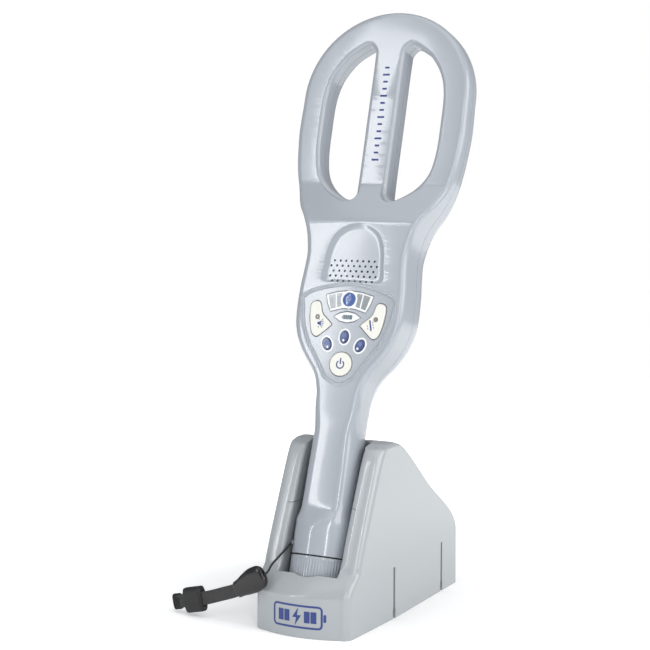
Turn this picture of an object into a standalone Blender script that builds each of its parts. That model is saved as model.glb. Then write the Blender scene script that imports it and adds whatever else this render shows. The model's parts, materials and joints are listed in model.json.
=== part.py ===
"""Hand-held scanning wand standing in its charging cradle.

World frame: metres, +Z up, origin on the floor under the middle of the cradle, -Y is the cradle's front.
The wand has its own frame: origin at the middle of the battery cap's end, z along the wand's axis,
-y out of its keypad face. It leans back in the cradle by LEAN.
"""
import math

import bmesh
import bpy
from mathutils import Matrix, Vector

# ---- overall sizes of the wand, metres
LENGTH = 0.440
HEAD_W = 0.140
HEAD_T = 0.020
BODY_W = 0.0884
BODY_T = 0.043
HANDLE_W = 0.0376
HANDLE_BACK = 0.0235
CAP_R = 0.0223
CAP_H = 0.0212
COLLAR_Z = 0.0223
WALL = 0.0022
LEAN = math.radians(17.0)
FACE_Y = -0.0125
HEAD_Y = -0.0005
SPLIT_Y = HEAD_Y + HEAD_T / 2
# ---- the loop head
BAR_W = 0.018
RIM_W = 0.0178
RIM_ROUND = 0.0035
# ---- keypad
PANEL_DEPTH = 0.001
KEY_GAP = 0.0003
KEY_PROUD = 0.0011
# ---- the cradle
CRADLE_L = 0.195
CRADLE_W = 0.0834
CRADLE_FRONT_W = 0.0772
CRADLE_H = 0.131
CRADLE_WALL = 0.0025
LIP_Z = 0.0395
BULGE = 0.011
BACK_Z = 0.048
TROUGH_GAP = 0.0013
TROUGH_SILL = 0.0078
SLIT_W = 0.002
SLIT_H = 0.039
BASE_T = 0.0026
SEAT_Y = 0.0329 - CRADLE_L / 2
SEAT_Z = 0.0289
# ---- strap
CORD_D = 0.0016
WEB_W = 0.010
WEB_T = 0.0011
GAP = 0.0003

FIXED_END = 0.045
STRETCH = (LENGTH - FIXED_END) / 0.395
FRONT = -CRADLE_L / 2
BACK = CRADLE_L / 2


def clear_scene():
    for obj in list(bpy.data.objects):
        bpy.data.objects.remove(obj)


def along(mm):
    """Station along the wand. The cap's end keeps its size, and the rest stretches with LENGTH."""
    station = mm * 0.001
    return station if station <= FIXED_END else FIXED_END + (station - FIXED_END) * STRETCH


def material(name, colour, rough, metal=0.0):
    mat = bpy.data.materials.new(name)
    mat.use_nodes = True
    shader = mat.node_tree.nodes["Principled BSDF"]
    shader.inputs["Base Color"].default_value = (*colour, 1.0)
    shader.inputs["Roughness"].default_value = rough
    shader.inputs["Metallic"].default_value = metal
    return mat


def mesh_object(name, verts, faces, mat, parent=None):
    mesh = bpy.data.meshes.new(name)
    mesh.from_pydata([tuple(v) for v in verts], [], faces)
    bm = bmesh.new()
    bm.from_mesh(mesh)
    bmesh.ops.remove_doubles(bm, verts=bm.verts, dist=1e-7)
    bmesh.ops.recalc_face_normals(bm, faces=bm.faces)
    if bm.calc_volume(signed=True) < 0:
        bmesh.ops.reverse_faces(bm, faces=bm.faces)
    bent = [face for face in bm.faces if len(face.verts) == 4]
    bmesh.ops.triangulate(bm, faces=bent)
    bm.to_mesh(mesh)
    bm.free()
    obj = bpy.data.objects.new(name, mesh)
    bpy.context.scene.collection.objects.link(obj)
    if mat:
        obj.data.materials.append(mat)
    obj.parent = parent
    return obj


def loft(name, rings, mat, parent=None):
    """Closed solid through rings of equally many points, with flat ends."""
    count = len(rings[0])
    verts = [point for ring in rings for point in ring]
    faces = []
    for level in range(len(rings) - 1):
        for i in range(count):
            j = (i + 1) % count
            a = level * count
            b = a + count
            faces.append((a + i, a + j, b + j, b + i))
    faces.append(tuple(range(count)))
    last = (len(rings) - 1) * count
    faces.append(tuple(range(last + count - 1, last - 1, -1)))
    return mesh_object(name, verts, faces, mat, parent)


def lathe(name, profile, sides, mat, parent=None, place=None):
    """Solid of revolution about z. profile is a closed loop of (radius, z)."""
    place = place or Matrix()
    verts = []
    for k in range(sides):
        angle = 2 * math.pi * k / sides
        for radius, height in profile:
            spot = (radius * math.cos(angle), radius * math.sin(angle), height)
            verts.append(place @ Vector(spot))
    count = len(profile)
    faces = []
    for k in range(sides):
        a = k * count
        b = (k + 1) % sides * count
        for i in range(count):
            j = (i + 1) % count
            if profile[i][0] == 0 and profile[j][0] == 0:
                continue
            if profile[i][0] == 0:
                faces.append((a + i, a + j, b + j))
            elif profile[j][0] == 0:
                faces.append((a + i, a + j, b + i))
            else:
                faces.append((a + i, a + j, b + j, b + i))
    return mesh_object(name, verts, faces, mat, parent)


def disc(name, radius, low, high, sides, mat, parent=None, place=None):
    loop = [(0, low), (radius, low), (radius, high), (0, high)]
    return lathe(name, loop, sides, mat, parent, place)


def box(name, low, high, mat, parent=None):
    corners = [(low[0], low[1]), (high[0], low[1]), (high[0], high[1]), (low[0], high[1])]
    rings = [[Vector((x, y, z)) for x, y in corners] for z in (low[2], high[2])]
    return loft(name, rings, mat, parent)


def cut(obj, tool, operation="DIFFERENCE"):
    """Boolean with a helper that is hidden from the build."""
    tool.hide_render = True
    tool.display_type = "WIRE"
    step = obj.modifiers.new(tool.name, "BOOLEAN")
    step.operation = operation
    step.solver = "EXACT"
    step.object = tool


def gather(name, tools, parent=None):
    """One helper made of several separate helpers, so that they cut in one step."""
    bm = bmesh.new()
    for tool in tools:
        bm.from_mesh(tool.data)
        bpy.data.objects.remove(tool)
    mesh = bpy.data.meshes.new(name)
    bm.to_mesh(mesh)
    bm.free()
    obj = bpy.data.objects.new(name, mesh)
    bpy.context.scene.collection.objects.link(obj)
    obj.parent = parent
    return obj


def curve_at(rows, station):
    """Smooth value at a station, through rows of (station, value)."""
    places = [row[0] for row in rows]
    values = [row[1] for row in rows]
    if station <= places[0]:
        return values[0]
    if station >= places[-1]:
        return values[-1]
    k = max(i for i in range(len(rows) - 1) if places[i] <= station)
    run = places[k + 1] - places[k]
    slopes = []
    for i in (k, k + 1):
        if 0 < i < len(rows) - 1:
            left = (values[i] - values[i - 1]) / (places[i] - places[i - 1])
            right = (values[i + 1] - values[i]) / (places[i + 1] - places[i])
            slopes.append(0 if left * right <= 0 else 2 * left * right / (left + right))
        else:
            slopes.append(0)
    t = (station - places[k]) / run
    start = values[k] * (1 + 2 * t) * (1 - t) ** 2 + slopes[0] * run * t * (1 - t) ** 2
    return start + values[k + 1] * t * t * (3 - 2 * t) + slopes[1] * run * t * t * (t - 1)


def smooth_loop(points, steps):
    """Closed Catmull-Rom curve through 2-D points."""
    spots = [Vector(p) for p in points]
    count = len(spots)
    loop = []
    for i in range(count):
        a, b, c, d = (spots[(i + k) % count] for k in (-1, 0, 1, 2))
        for k in range(steps):
            t = k / steps
            loop.append(
                0.5 * (2 * b + (c - a) * t + (2 * a - 5 * b + 4 * c - d) * t * t
                       + (3 * b - a - 3 * c + d) * t ** 3)
            )
    return loop


def grow(loop, amount):
    """A closed 2-D loop moved outwards along its own normals."""
    count = len(loop)
    area = sum(loop[i].cross(loop[(i + 1) % count]) for i in range(count))
    turn = amount if area > 0 else -amount
    out = []
    for i in range(count):
        way = (loop[(i + 1) % count] - loop[i - 1]).normalized()
        out.append(loop[i] + Vector((way.y, -way.x)) * turn)
    return out


def plate(name, loop, levels, mat, parent):
    """Solid from a loop in (x, z) carried along y. levels are (y, growth of the loop)."""
    rings = [[Vector((p.x, y, p.y)) for p in grow(loop, more)] for y, more in levels]
    return loft(name, rings, mat, parent)


# ------------------------------------------------------------------ the wand's outer form
def outline_rows():
    h, b, w = HANDLE_W / 2, BODY_W / 2, HEAD_W / 2
    rows = [
        (22.3, CAP_R), (38, CAP_R), (46, h + 0.75 * (CAP_R - h)), (56, h + 0.3 * (CAP_R - h)),
        (80, h + 0.0006), (118, h - 0.0004), (138, h - 0.0004), (150, h + 0.07 * (b - h)),
        (158, h + 0.22 * (b - h)), (166, h + 0.47 * (b - h)), (174, h + 0.69 * (b - h)),
        (183, h + 0.86 * (b - h)), (194, b - 0.0007), (206, b), (220, b - 0.0004),
        (234, b - 0.0017), (245, b - 0.0024), (256, b - 0.0010), (266, b + 0.0016),
        (274, b + 0.20 * (w - b)), (284, b + 0.46 * (w - b)), (296, b + 0.67 * (w - b)),
        (310, b + 0.84 * (w - b)), (326, b + 0.94 * (w - b)), (348, w), (372, w - 0.0006),
    ]
    return [(along(s), v) for s, v in rows]


def front_rows():
    rows = [
        (22.3, -CAP_R), (40, -CAP_R), (47, -0.0175), (53, -0.0105), (58, -0.0090),
        (100, -0.0080), (111, -0.0085), (119, -0.0117), (126, FACE_Y), (270, FACE_Y),
        (276, FACE_Y + 0.0014), (286, FACE_Y + 0.0055), (296, FACE_Y + 0.0100),
        (304, HEAD_Y), (372, HEAD_Y),
    ]
    return [(along(s), v) for s, v in rows]


def back_rows():
    back = FACE_Y + BODY_T
    head = HEAD_Y + HEAD_T
    rows = [
        (22.3, CAP_R), (40, CAP_R), (56, HANDLE_BACK - 0.0003), (112, HANDLE_BACK),
        (130, HANDLE_BACK + 0.0015), (150, back - 0.0022), (168, back), (254, back),
        (274, back - 0.0017), (294, head + 0.0045), (312, head + 0.0008), (330, head),
        (372, head),
    ]
    return [(along(s), v) for s, v in rows]


def edge_rows():
    """(front rx, front ry, back rx, back ry) of the section's rounded corners."""
    c, h = CAP_R, HANDLE_W / 2
    rows = [
        (22.3, c, c, c, c), (40, c, c, c, c), (50, h - 0.0075, 0.0150, h, 0.0210),
        (58, h - 0.0093, 0.0115, h, HANDLE_BACK - 0.004),
        (112, h - 0.0095, 0.0115, h, HANDLE_BACK - 0.004), (120, 0.0080, 0.0095, h, 0.0200),
        (132, 0.0062, 0.0070, h - 0.002, 0.0200), (150, 0.0052, 0.0055, 0.0160, 0.0190),
        (170, 0.0050, 0.0050, 0.0180, 0.0170), (200, 0.0050, 0.0050, 0.0150, 0.0150),
        (256, 0.0050, 0.0050, 0.0130, 0.0140), (280, 0.0050, 0.0050, 0.0100, 0.0100),
        (300, 0.0050, 0.0050, 0.0060, 0.0060), (314, 0.0050, 0.0050, 0.0050, 0.0050),
        (372, 0.0050, 0.0050, 0.0050, 0.0050),
    ]
    return [[(along(r[0]), r[k]) for r in rows] for k in (1, 2, 3, 4)]


def half_section(half, front, back, corner, arc):
    """Points (x, y) from the middle of the front, round one side, to the middle of the back."""
    rxf, ryf, rxb, ryb = corner
    rxf, rxb = min(rxf, half), min(rxb, half)
    room = (back - front) * 0.499
    ryf, ryb = min(ryf, room), min(ryb, (back - front) - min(ryf, room))
    points = [(0.0, front)]
    for k in range(arc + 1):
        a = math.pi / 2 * k / arc
        points.append((half - rxf + rxf * math.sin(a), front + ryf - ryf * math.cos(a)))
    for k in range(arc + 1):
        a = math.pi / 2 * k / arc
        points.append((half - rxb + rxb * math.cos(a), back - ryb + ryb * math.sin(a)))
    points.append((0.0, back))
    return points


def wand_form(name, inset, neck, arc, fan, mat, parent):
    """The wand from its threaded neck to the top of the loop, moved inwards by inset.

    neck is (radius, low end, high end) of the round neck that the cap screws on to.
    """
    halves, fronts, backs = outline_rows(), front_rows(), back_rows()
    corners = edge_rows()
    radius, low, step = neck
    columns = []
    for s in (low, step):
        section = half_section(radius, -radius, radius, [radius] * 4, arc)
        columns.append([Vector((x, y, s)) for x, y in section])
    stations = [step] + wand_stations(40)
    for s in stations:
        at = min(max(s, along(22.3)), along(372))
        half = curve_at(halves, at) - inset
        corner = [max(curve_at(rows, at) - inset, 0.0008) for rows in corners]
        section = half_section(
            half, curve_at(fronts, at) + inset, curve_at(backs, at) - inset, corner, arc)
        columns.append([Vector((x, y, s)) for x, y in section])
    centre = along(372)
    side = HEAD_W / 2 - 0.0006
    corner = [0.005 - inset] * 4
    flank = [[Vector((-p.x, p.y, p.z)) for p in column] for column in reversed(columns)]
    turned = []
    for k in range(1, fan):
        a = math.pi * k / fan
        reach = side + (LENGTH - centre - side) * math.sin(a) ** 2 - inset
        section = half_section(
            reach, HEAD_Y + inset, HEAD_Y + HEAD_T - inset, corner, arc)
        turned.append([Vector((x * math.cos(a), y, centre + x * math.sin(a))) for x, y in section])
    wall = columns + turned + flank
    count = len(wall[0])
    verts = [point for column in wall for point in column]
    faces = []
    for level in range(len(wall) - 1):
        for i in range(count - 1):
            a = level * count + i
            b = a + count
            faces.append((a, a + 1, b + 1, b))
    foot = list(range(count)) + [len(verts) - count + i for i in range(count - 2, 0, -1)]
    faces.append(tuple(foot))
    verts, faces = weld_middle(verts, faces)
    return mesh_object(name, verts, faces, mat, parent)


def weld_middle(verts, faces):
    """Joins the points that the two sides of the form share."""
    keys = {}
    order = []
    index = []
    for point in verts:
        key = tuple(round(value * 1e7) for value in point)
        if key not in keys:
            keys[key] = len(order)
            order.append(point)
        index.append(keys[key])
    out = []
    for face in faces:
        ring = [index[i] for i in face]
        ring = [v for k, v in enumerate(ring) if v != ring[k - 1]]
        if len(ring) > 2:
            out.append(tuple(ring))
    return order, out


def wand_stations(low):
    marks = [low, 40, 50, 58, 85, 111, 120, 130, 142, 152, 160, 168, 177, 188,
             206, 228, 246, 258, 269, 279, 290, 302, 318, 346, 372]
    return [along(mark) for mark in marks]


def slot_loop(side, steps=2):
    """The rim of one D-shaped opening, in (x, z) of the wand."""
    inner = BAR_W / 2
    outer = HEAD_W / 2 - RIM_W
    width = outer - inner
    rows = [
        (0.0, 400), (0.03, 411), (0.20, 417), (0.42, 413), (0.66, 405), (0.88, 391),
        (0.985, 374), (1.0, 350), (0.985, 328), (0.90, 311), (0.70, 299), (0.42, 291),
        (0.20, 288), (0.03, 293), (0.0, 304), (0.0, 352),
    ]
    spots = [(side * (inner + u * width), along(s)) for u, s in rows]
    return smooth_loop(spots, steps)


def slot_tool(name, side, more, parent):
    """Cutter for one opening; more > 0 leaves room for the wall round it."""
    loop = slot_loop(side)
    low = HEAD_Y
    high = HEAD_Y + HEAD_T
    levels = [
        (FACE_Y - 0.002, 0.0005 + more), (low, more), (low + RIM_ROUND, more - RIM_ROUND),
        (high - RIM_ROUND, more - RIM_ROUND), (high, more), (high + 0.012, more + 0.0005),
    ]
    return plate(name, loop, levels, None, parent)


def shield_loop(shrink, steps=2):
    """The keypad's shield outline, in (x, z)."""
    rows = [
        (0, 221.6), (16, 219.6), (30, 215.8), (37, 211.5), (36.2, 206), (34.4, 194),
        (28.5, 180), (21.5, 170), (14, 159), (9.5, 152.8), (0, 149.0),
    ]
    right = [(x * 0.001, along(z)) for x, z in rows]
    left = [(-x, z) for x, z in right[-2:0:-1]]
    return grow(smooth_loop(right + left, steps), -shrink)


# ------------------------------------------------------------------ shells
def shells(frame, mats):
    neck = (CAP_R - 0.0037, 0.0070, COLLAR_Z)
    bore = (CAP_R - 0.0062, 0.0060, COLLAR_Z + 0.0022)
    outer_front = wand_form("front_shell", 0.0, neck, 2, 12, mats["grey"], frame)
    outer_rear = wand_form("rear_shell", 0.0, neck, 2, 12, mats["grey"], frame)
    inside = wand_form("tool_inside", WALL, bore, 2, 12, None, frame)
    sleeves = [slot_tool("tool_sleeve_%d" % side, side, WALL, frame) for side in (-1, 1)]
    cut(inside, gather("tool_sleeves", sleeves, frame))
    half_gap = GAP / 2
    front_half = box("tool_front_half", (-0.1, SPLIT_Y - half_gap, -0.01), (0.1, 0.1, 0.6), None, frame)
    rear_half = box("tool_rear_half", (-0.1, -0.1, -0.01), (0.1, SPLIT_Y + half_gap, 0.6), None, frame)
    slots = [slot_tool("tool_slot_%d" % side, side, 0.0, frame) for side in (-1, 1)]
    slots = gather("tool_slots", slots, frame)
    dish, holes = dish_and_grille(frame)
    recess, openings = keypad(frame, mats)
    posts, bores, screw_holes = fasteners(frame, mats["steel"])
    for shell, half in ((outer_front, front_half), (outer_rear, rear_half)):
        cut(shell, inside)
        cut(shell, slots)
        cut(shell, half)
    cut(outer_front, gather("tool_recesses", [dish, recess], frame))
    cut(outer_front, gather("tool_openings", holes + openings, frame))
    cut(outer_front, gather("tool_posts", posts, frame), "UNION")
    cut(outer_front, gather("tool_bores", bores, frame))
    cut(outer_rear, gather("tool_screw_holes", screw_holes, frame))


def dish_and_grille(frame):
    """Cutters for the shallow domed recess over the loudspeaker and its rows of small holes."""
    rows = [(0, 270), (10, 268), (19, 261), (23.5, 250), (25, 238), (25, 224.5), (12, 223.8), (0, 223.8)]
    right = [(x * 0.001, along(z)) for x, z in rows]
    left = [(-x, z) for x, z in right[-2:0:-1]]
    loop = smooth_loop(right + left, 2)
    levels = [(FACE_Y - 0.001, 0.002), (FACE_Y, 0.0), (FACE_Y + 0.0010, -0.0052)]
    dish = plate("tool_dish", loop, levels, None, frame)
    holes = []
    for row in range(5):
        z = along(240.8 - 3.9 * row)
        count = 8 if row % 2 == 0 else 9
        for k in range(count):
            x = (k - (count - 1) / 2) * 0.00469
            place = (Matrix.Translation((x, 0, z)) @ Matrix.Rotation(math.pi / 2, 4, "X")
                     @ Matrix.Rotation(0.05 + 0.29 * (k + 3 * row), 4, "Z"))
            holes.append(disc("tool_hole_%02d" % len(holes), 0.0009, 0.0085, 0.0160, 5, None, frame, place))
    return dish, holes


def fasteners(frame, steel):
    """Four screws through the rear shell, and the cutters for their holes and posts."""
    spots = [(-0.026, along(224)), (0.026, along(224)), (-0.0260, along(260)), (0.0260, along(260))]
    back = FACE_Y + BODY_T
    posts, bores, holes = [], [], []
    for k, (x, z) in enumerate(spots):
        turn = (Matrix.Translation((x, 0, z)) @ Matrix.Rotation(-math.pi / 2, 4, "X")
                @ Matrix.Rotation(0.11 + 0.07 * k, 4, "Z"))
        low, high = FACE_Y + WALL * 0.72, SPLIT_Y - 0.0006
        posts.append(disc("tool_post_%d" % k, 0.0034, low, high, 10, None, frame, turn))
        bores.append(disc("tool_bore_%d" % k, 0.0015, high - 0.0120, high + 0.004, 10, None, frame, turn))
        floor = back - 0.0010
        loop = [(0, back - 0.006), (0.0015, back - 0.006), (0.0015, floor), (0.0030, floor),
                (0.0030, back + 0.002), (0, back + 0.002)]
        holes.append(lathe("tool_screw_hole_%d" % k, loop, 12, None, frame, turn))
        head = floor + 0.0002
        tip = high - 0.0110
        loop = [(0, tip), (0.0012, tip), (0.0012, head), (0.0027, head), (0.0022, head + 0.0007),
                (0, head + 0.0007)]
        lathe("shell_screw_%d" % (k + 1), loop, 12, steel, frame, turn)
    return posts, bores, holes


# ------------------------------------------------------------------ keypad
def key(name, loop, openings, mats, frame, proud=KEY_PROUD):
    """One key: its own solid with a retaining flange, and the opening that it moves in."""
    floor = FACE_Y + PANEL_DEPTH
    crown = floor - proud
    wall = FACE_Y + WALL
    levels = [
        (crown, -0.0007), (crown + 0.0004, -0.0001), (crown + 0.0008, 0.0), (wall + 0.0009, 0.0),
        (wall + 0.00095, 0.0008), (wall + 0.0017, 0.0008), (wall + 0.00175, -0.0010),
        (wall + 0.0028, -0.0010),
    ]
    solid = plate(name, loop, levels, mats, frame)
    levels = [(FACE_Y - 0.004, KEY_GAP), (wall + 0.002, KEY_GAP)]
    openings.append(plate("tool_" + name, loop, levels, None, frame))
    return solid


def oval(x, s, half_w, half_h, turn, count=14):
    loop = []
    for k in range(count):
        a = 2 * math.pi * k / count
        px, pz = half_w * math.cos(a), half_h * math.sin(a)
        loop.append(Vector((
            x + px * math.cos(turn) - pz * math.sin(turn),
            along(s) + px * math.sin(turn) + pz * math.cos(turn))))
    return loop


def kite_loop(side):
    rows = [(30.6, 206.5), (26.5, 209.2), (23.2, 207.6), (20.5, 200), (12.4, 192.6), (13.6, 190.4),
            (21.2, 183.8), (24.4, 182.9), (27.6, 186), (30.2, 196)]
    return smooth_loop([(side * x * 0.001, along(z)) for x, z in rows], 2)


def display_loop():
    rows = [(-19.2, 214.4), (-9.5, 216.9), (0, 217.8), (9.5, 216.9), (19.2, 214.4), (17.6, 208.6),
            (14.4, 202.2), (6, 204.6), (0, 205.2), (-6, 204.6), (-14.4, 202.2), (-17.6, 208.6)]
    return [Vector((x * 0.001, along(z))) for x, z in rows]


def fixed_window(name, loop, depth, openings, mats, frame):
    """A glued window in a shallow pocket of the panel."""
    floor = FACE_Y + PANEL_DEPTH
    solid = plate(name, loop, [(floor - 0.0004, -0.0003), (floor - 0.0001, 0.0), (floor + depth, 0.0)],
                  mats, frame)
    levels = [(FACE_Y - 0.004, KEY_GAP), (floor + depth + KEY_GAP, KEY_GAP)]
    openings.append(plate("tool_" + name, loop, levels, None, frame))
    return solid


def keypad(frame, mats):
    """The keys, windows and lamps, and the cutters of the recess and of their openings."""
    floor = FACE_Y + PANEL_DEPTH
    recess = plate("tool_recess", shield_loop(0.0), [(FACE_Y - 0.003, 0.0012), (floor, 0.0)], None, frame)
    openings = []
    key("power_button", oval(0, 162.8, 0.0088, 0.0088, 0, 20), openings, mats["cream"], frame)
    key("level_key_centre", oval(0, 183.2, 0.0034, 0.0047, 0), openings, mats["navy"], frame)
    key("level_key_left", oval(-0.0135, 177.3, 0.0034, 0.0047, 0.45), openings, mats["navy"], frame)
    key("level_key_right", oval(0.0135, 177.3, 0.0034, 0.0047, -0.45), openings, mats["navy"], frame)
    for side, word in ((-1, "left"), (1, "right")):
        solid = key("function_key_" + word, kite_loop(side), openings, mats["cream"], frame)
        spot = oval(side * 0.0240, 197.2, 0.0016, 0.0016, 0, 10)
        eye = plate("tool_led_" + word, spot, [(FACE_Y - 0.004, KEY_GAP), (0.0, KEY_GAP)], None, frame)
        cut(solid, eye)
        levels = [(floor - KEY_PROUD + 0.0002, 0.0), (FACE_Y + WALL + 0.0026, 0.0)]
        plate("led_" + word, spot, levels, mats["lens"], frame)
    window = fixed_window("display_window", display_loop(), 0.0005, openings, mats["window"], frame)
    lens = oval(0, 211.4, 0.0050, 0.0050, 0, 16)
    eye = plate("tool_alarm_in_window", lens, [(FACE_Y - 0.004, KEY_GAP), (0.0, KEY_GAP)], None, frame)
    cut(window, eye)
    plate("alarm_lens", lens, [(floor - 0.0010, -0.0010), (floor - 0.0005, 0.0), (floor + 0.0005, 0.0)],
          mats["navy"], frame)
    eyelid = [Vector((x * 0.001, along(z))) for x, z in (
        (-10.7, 198.2), (-6, 200.9), (0, 202.0), (6, 200.9), (10.7, 198.2), (6, 195.4), (0, 194.2),
        (-6, 195.4))]
    fixed_window("battery_lens", eyelid, 0.0005, openings, mats["cream"], frame)
    return recess, openings


# ------------------------------------------------------------------ inside the wand
def coil(frame, copper):
    """The flat oval search coil, between the rim of the loop and its openings."""
    middle = HEAD_W / 2 - RIM_W / 2 + 0.0002
    spots = [(0.0, along(428.6)), (0.026, along(423.0)), (0.046, along(409)), (0.0585, along(388)),
             (middle, along(364)), (middle, along(340)), (middle - 0.003, along(318)),
             (middle - 0.0115, along(299)), (0.036, along(285.5)), (0.018, along(280.0)),
             (0.0, along(278.5))]
    scale = HEAD_W / 0.140
    right = [(x * scale, z) for x, z in spots]
    left = [(-x, z) for x, z in right[-2:0:-1]]
    path = smooth_loop(right + left, 2)
    wide = grow(path, 0.0027)
    slim = grow(path, -0.0027)
    middle_y = SPLIT_Y
    rings = []
    for out, inn in zip(wide, slim):
        low, high = middle_y - 0.0045, middle_y + 0.0045
        rings.append([Vector((out.x, low, out.y)), Vector((out.x, high, out.y)),
                      Vector((inn.x, high, inn.y)), Vector((inn.x, low, inn.y))])
    verts = [p for ring in rings for p in ring]
    faces = []
    for k in range(len(rings)):
        a, b = k * 4, (k + 1) % len(rings) * 4
        for i in range(4):
            j = (i + 1) % 4
            faces.append((a + i, a + j, b + j, b + i))
    mesh_object("search_coil", verts, faces, copper, frame)


def insides(frame, mats):
    wall = FACE_Y + WALL
    board = wall + 0.0042
    box("main_board", (-0.025, board, along(169)), (0.025, board + 0.0016, along(217)), mats["board"], frame)
    turn = Matrix.Translation((0, 0, along(237))) @ Matrix.Rotation(-math.pi / 2, 4, "X")
    start = wall + 0.0016
    loop = [(0, start), (0.0165, start), (0.0165, start + 0.0035), (0.0090, start + 0.0060),
            (0.0090, start + 0.0100), (0, start + 0.0100)]
    lathe("speaker", loop, 24, mats["black"], frame, turn)
    side = Matrix.Translation((0.012, 0.012, along(184))) @ Matrix.Rotation(math.pi / 2, 4, "Y")
    disc("vibration_motor", 0.0035, -0.006, 0.006, 14, mats["steel"], frame, side)
    for k, x in enumerate((-0.0076, 0.0076)):
        place = Matrix.Translation((x, 0.003, along(46)))
        loop = [(0, 0), (0.0071, 0), (0.0071, 0.0485), (0.0027, 0.0487), (0.0027, 0.0500), (0, 0.0500)]
        lathe("battery_cell_%d" % (k + 1), loop, 16, mats["cell"], frame, place)
    low = along(46) + 0.0504
    box("battery_contact", (-0.0140, -0.0035, low), (0.0140, 0.0095, low + 0.0012), mats["steel"], frame)
    spring(frame, mats["steel"])
    lug(frame, mats["grey"])


def spring(frame, steel):
    """Conical contact spring between the cap and the cells."""
    turns, per = 4, 10
    points = []
    low, high = 0.0050, along(46) - 0.0018
    for k in range(turns * per + 1):
        t = k / (turns * per)
        a = 2 * math.pi * k / per
        r = 0.0105 - 0.0035 * t
        points.append((r * math.cos(a), r * math.sin(a), low + (high - low) * t))
    wire = bpy.data.curves.new("battery_spring", "CURVE")
    wire.dimensions = "3D"
    wire.bevel_depth = 0.0005
    wire.bevel_resolution = 0
    wire.use_fill_caps = True
    line = wire.splines.new("POLY")
    line.points.add(len(points) - 1)
    for spot, point in zip(line.points, points):
        spot.co = (*point, 1.0)
    obj = bpy.data.objects.new("battery_spring", wire)
    bpy.context.scene.collection.objects.link(obj)
    obj.data.materials.append(steel)
    obj.parent = frame


LUG_TURN = math.radians(210)
LUG_Z = 29.0


def lug(frame, grey):
    """A small eye on the collar's left side that the strap's cord is tied through."""
    reach = CAP_R + GAP
    place = (Matrix.Rotation(LUG_TURN, 4, "Z")
             @ Matrix.Translation((reach, 0, along(LUG_Z))))
    verts = []
    for k in range(9):
        a = math.pi * k / 8
        for r in (0.0028, 0.0013):
            for x in (0.0, 0.0007):
                verts.append(place @ Vector((x, r * math.cos(a) * 1.0, r * math.sin(a) - 0.0005)))
    faces = []
    for k in range(8):
        a, b = k * 4, (k + 1) * 4
        for i, j in ((0, 1), (1, 3), (3, 2), (2, 0)):
            faces.append((a + i, a + j, b + j, b + i))
    faces.append((0, 1, 3, 2))
    faces.append((32, 33, 35, 34))
    mesh_object("strap_lug", verts, faces, grey, frame)


# ------------------------------------------------------------------ battery cap
def battery_cap(frame, mats):
    ribs = 40
    rings = []
    for z, shave in ((0.0, 0.0012), (0.0010, 0.0), (CAP_H - 0.0006, 0.0), (CAP_H, 0.0004)):
        ring = []
        for k in range(ribs * 2):
            a = 2 * math.pi * (k + 0.5) / (ribs * 2)
            r = CAP_R - shave - (0.0007 if k % 2 else 0.0)
            ring.append(Vector((r * math.cos(a), r * math.sin(a), z)))
        rings.append(ring)
    cap = loft("battery_cap", rings, mats["grey"], frame)
    bore = CAP_R - 0.0031
    hollow = [(0, 0.0032), (bore, 0.0032), (bore, CAP_H + 0.001), (0, CAP_H + 0.001)]
    cut(cap, lathe("tool_cap_hollow", hollow, 24, None, frame))
    groove = [(0.0085, -0.001), (0.0115, -0.001), (0.0115, 0.0012), (0.0085, 0.0012)]
    cut(cap, lathe("tool_cap_groove", groove, 24, None, frame))
    dimple = [(0, -0.001), (0.0033, -0.001), (0.0033, 0.0012), (0, 0.0012)]
    cut(cap, lathe("tool_cap_dimple", dimple, 16, None, frame))
    ring = [(0.0088, 0.0001), (0.0112, 0.0001), (0.0112, 0.0009), (0.0088, 0.0009)]
    lathe("cap_contact_ring", ring, 24, mats["steel"], frame)
    disc("cap_contact_centre", 0.0030, 0.0001, 0.0009, 16, mats["steel"], frame)
    low = CAP_H + 0.00015
    inn, out, high = CAP_R - 0.0033, CAP_R - 0.0011, COLLAR_Z - 0.00015
    ring = [(inn, low), (out, low), (out, high), (inn, high)]
    lathe("cap_seal", ring, 32, mats["rubber"], frame)


# ------------------------------------------------------------------ cradle
def cradle_front(z):
    """How far forward the cradle reaches at a height."""
    rows = [(0, 0.0), (0.029, 0.0002), (0.0325, 0.0025), (LIP_Z, 0.0095), (0.046, 0.0180),
            (0.066, 0.0276), (0.106, 0.0468), (0.122, 0.0552), (0.128, 0.0600), (CRADLE_H, 0.0670)]
    return FRONT + curve_at(rows, z)


def cradle_back(z):
    rows = [(0, 0.0), (BACK_Z - 0.004, 0.0), (BACK_Z + 0.004, 0.0030), (0.088, 0.0505),
            (0.122, 0.0930), (0.128, 0.1030), (CRADLE_H, 0.1100)]
    return BACK - curve_at(rows, z)


def cradle_half(y, z):
    """Half-width at a place along the side and a height."""
    t = min(max((y - FRONT - 0.011) / 0.064, 0.0), 1.0)
    half = (CRADLE_FRONT_W + (CRADLE_W - CRADLE_FRONT_W) * t) / 2
    lean = max(z - BACK_Z, 0.0) / (CRADLE_H - BACK_Z)
    return half - 0.0022 * lean


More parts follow.
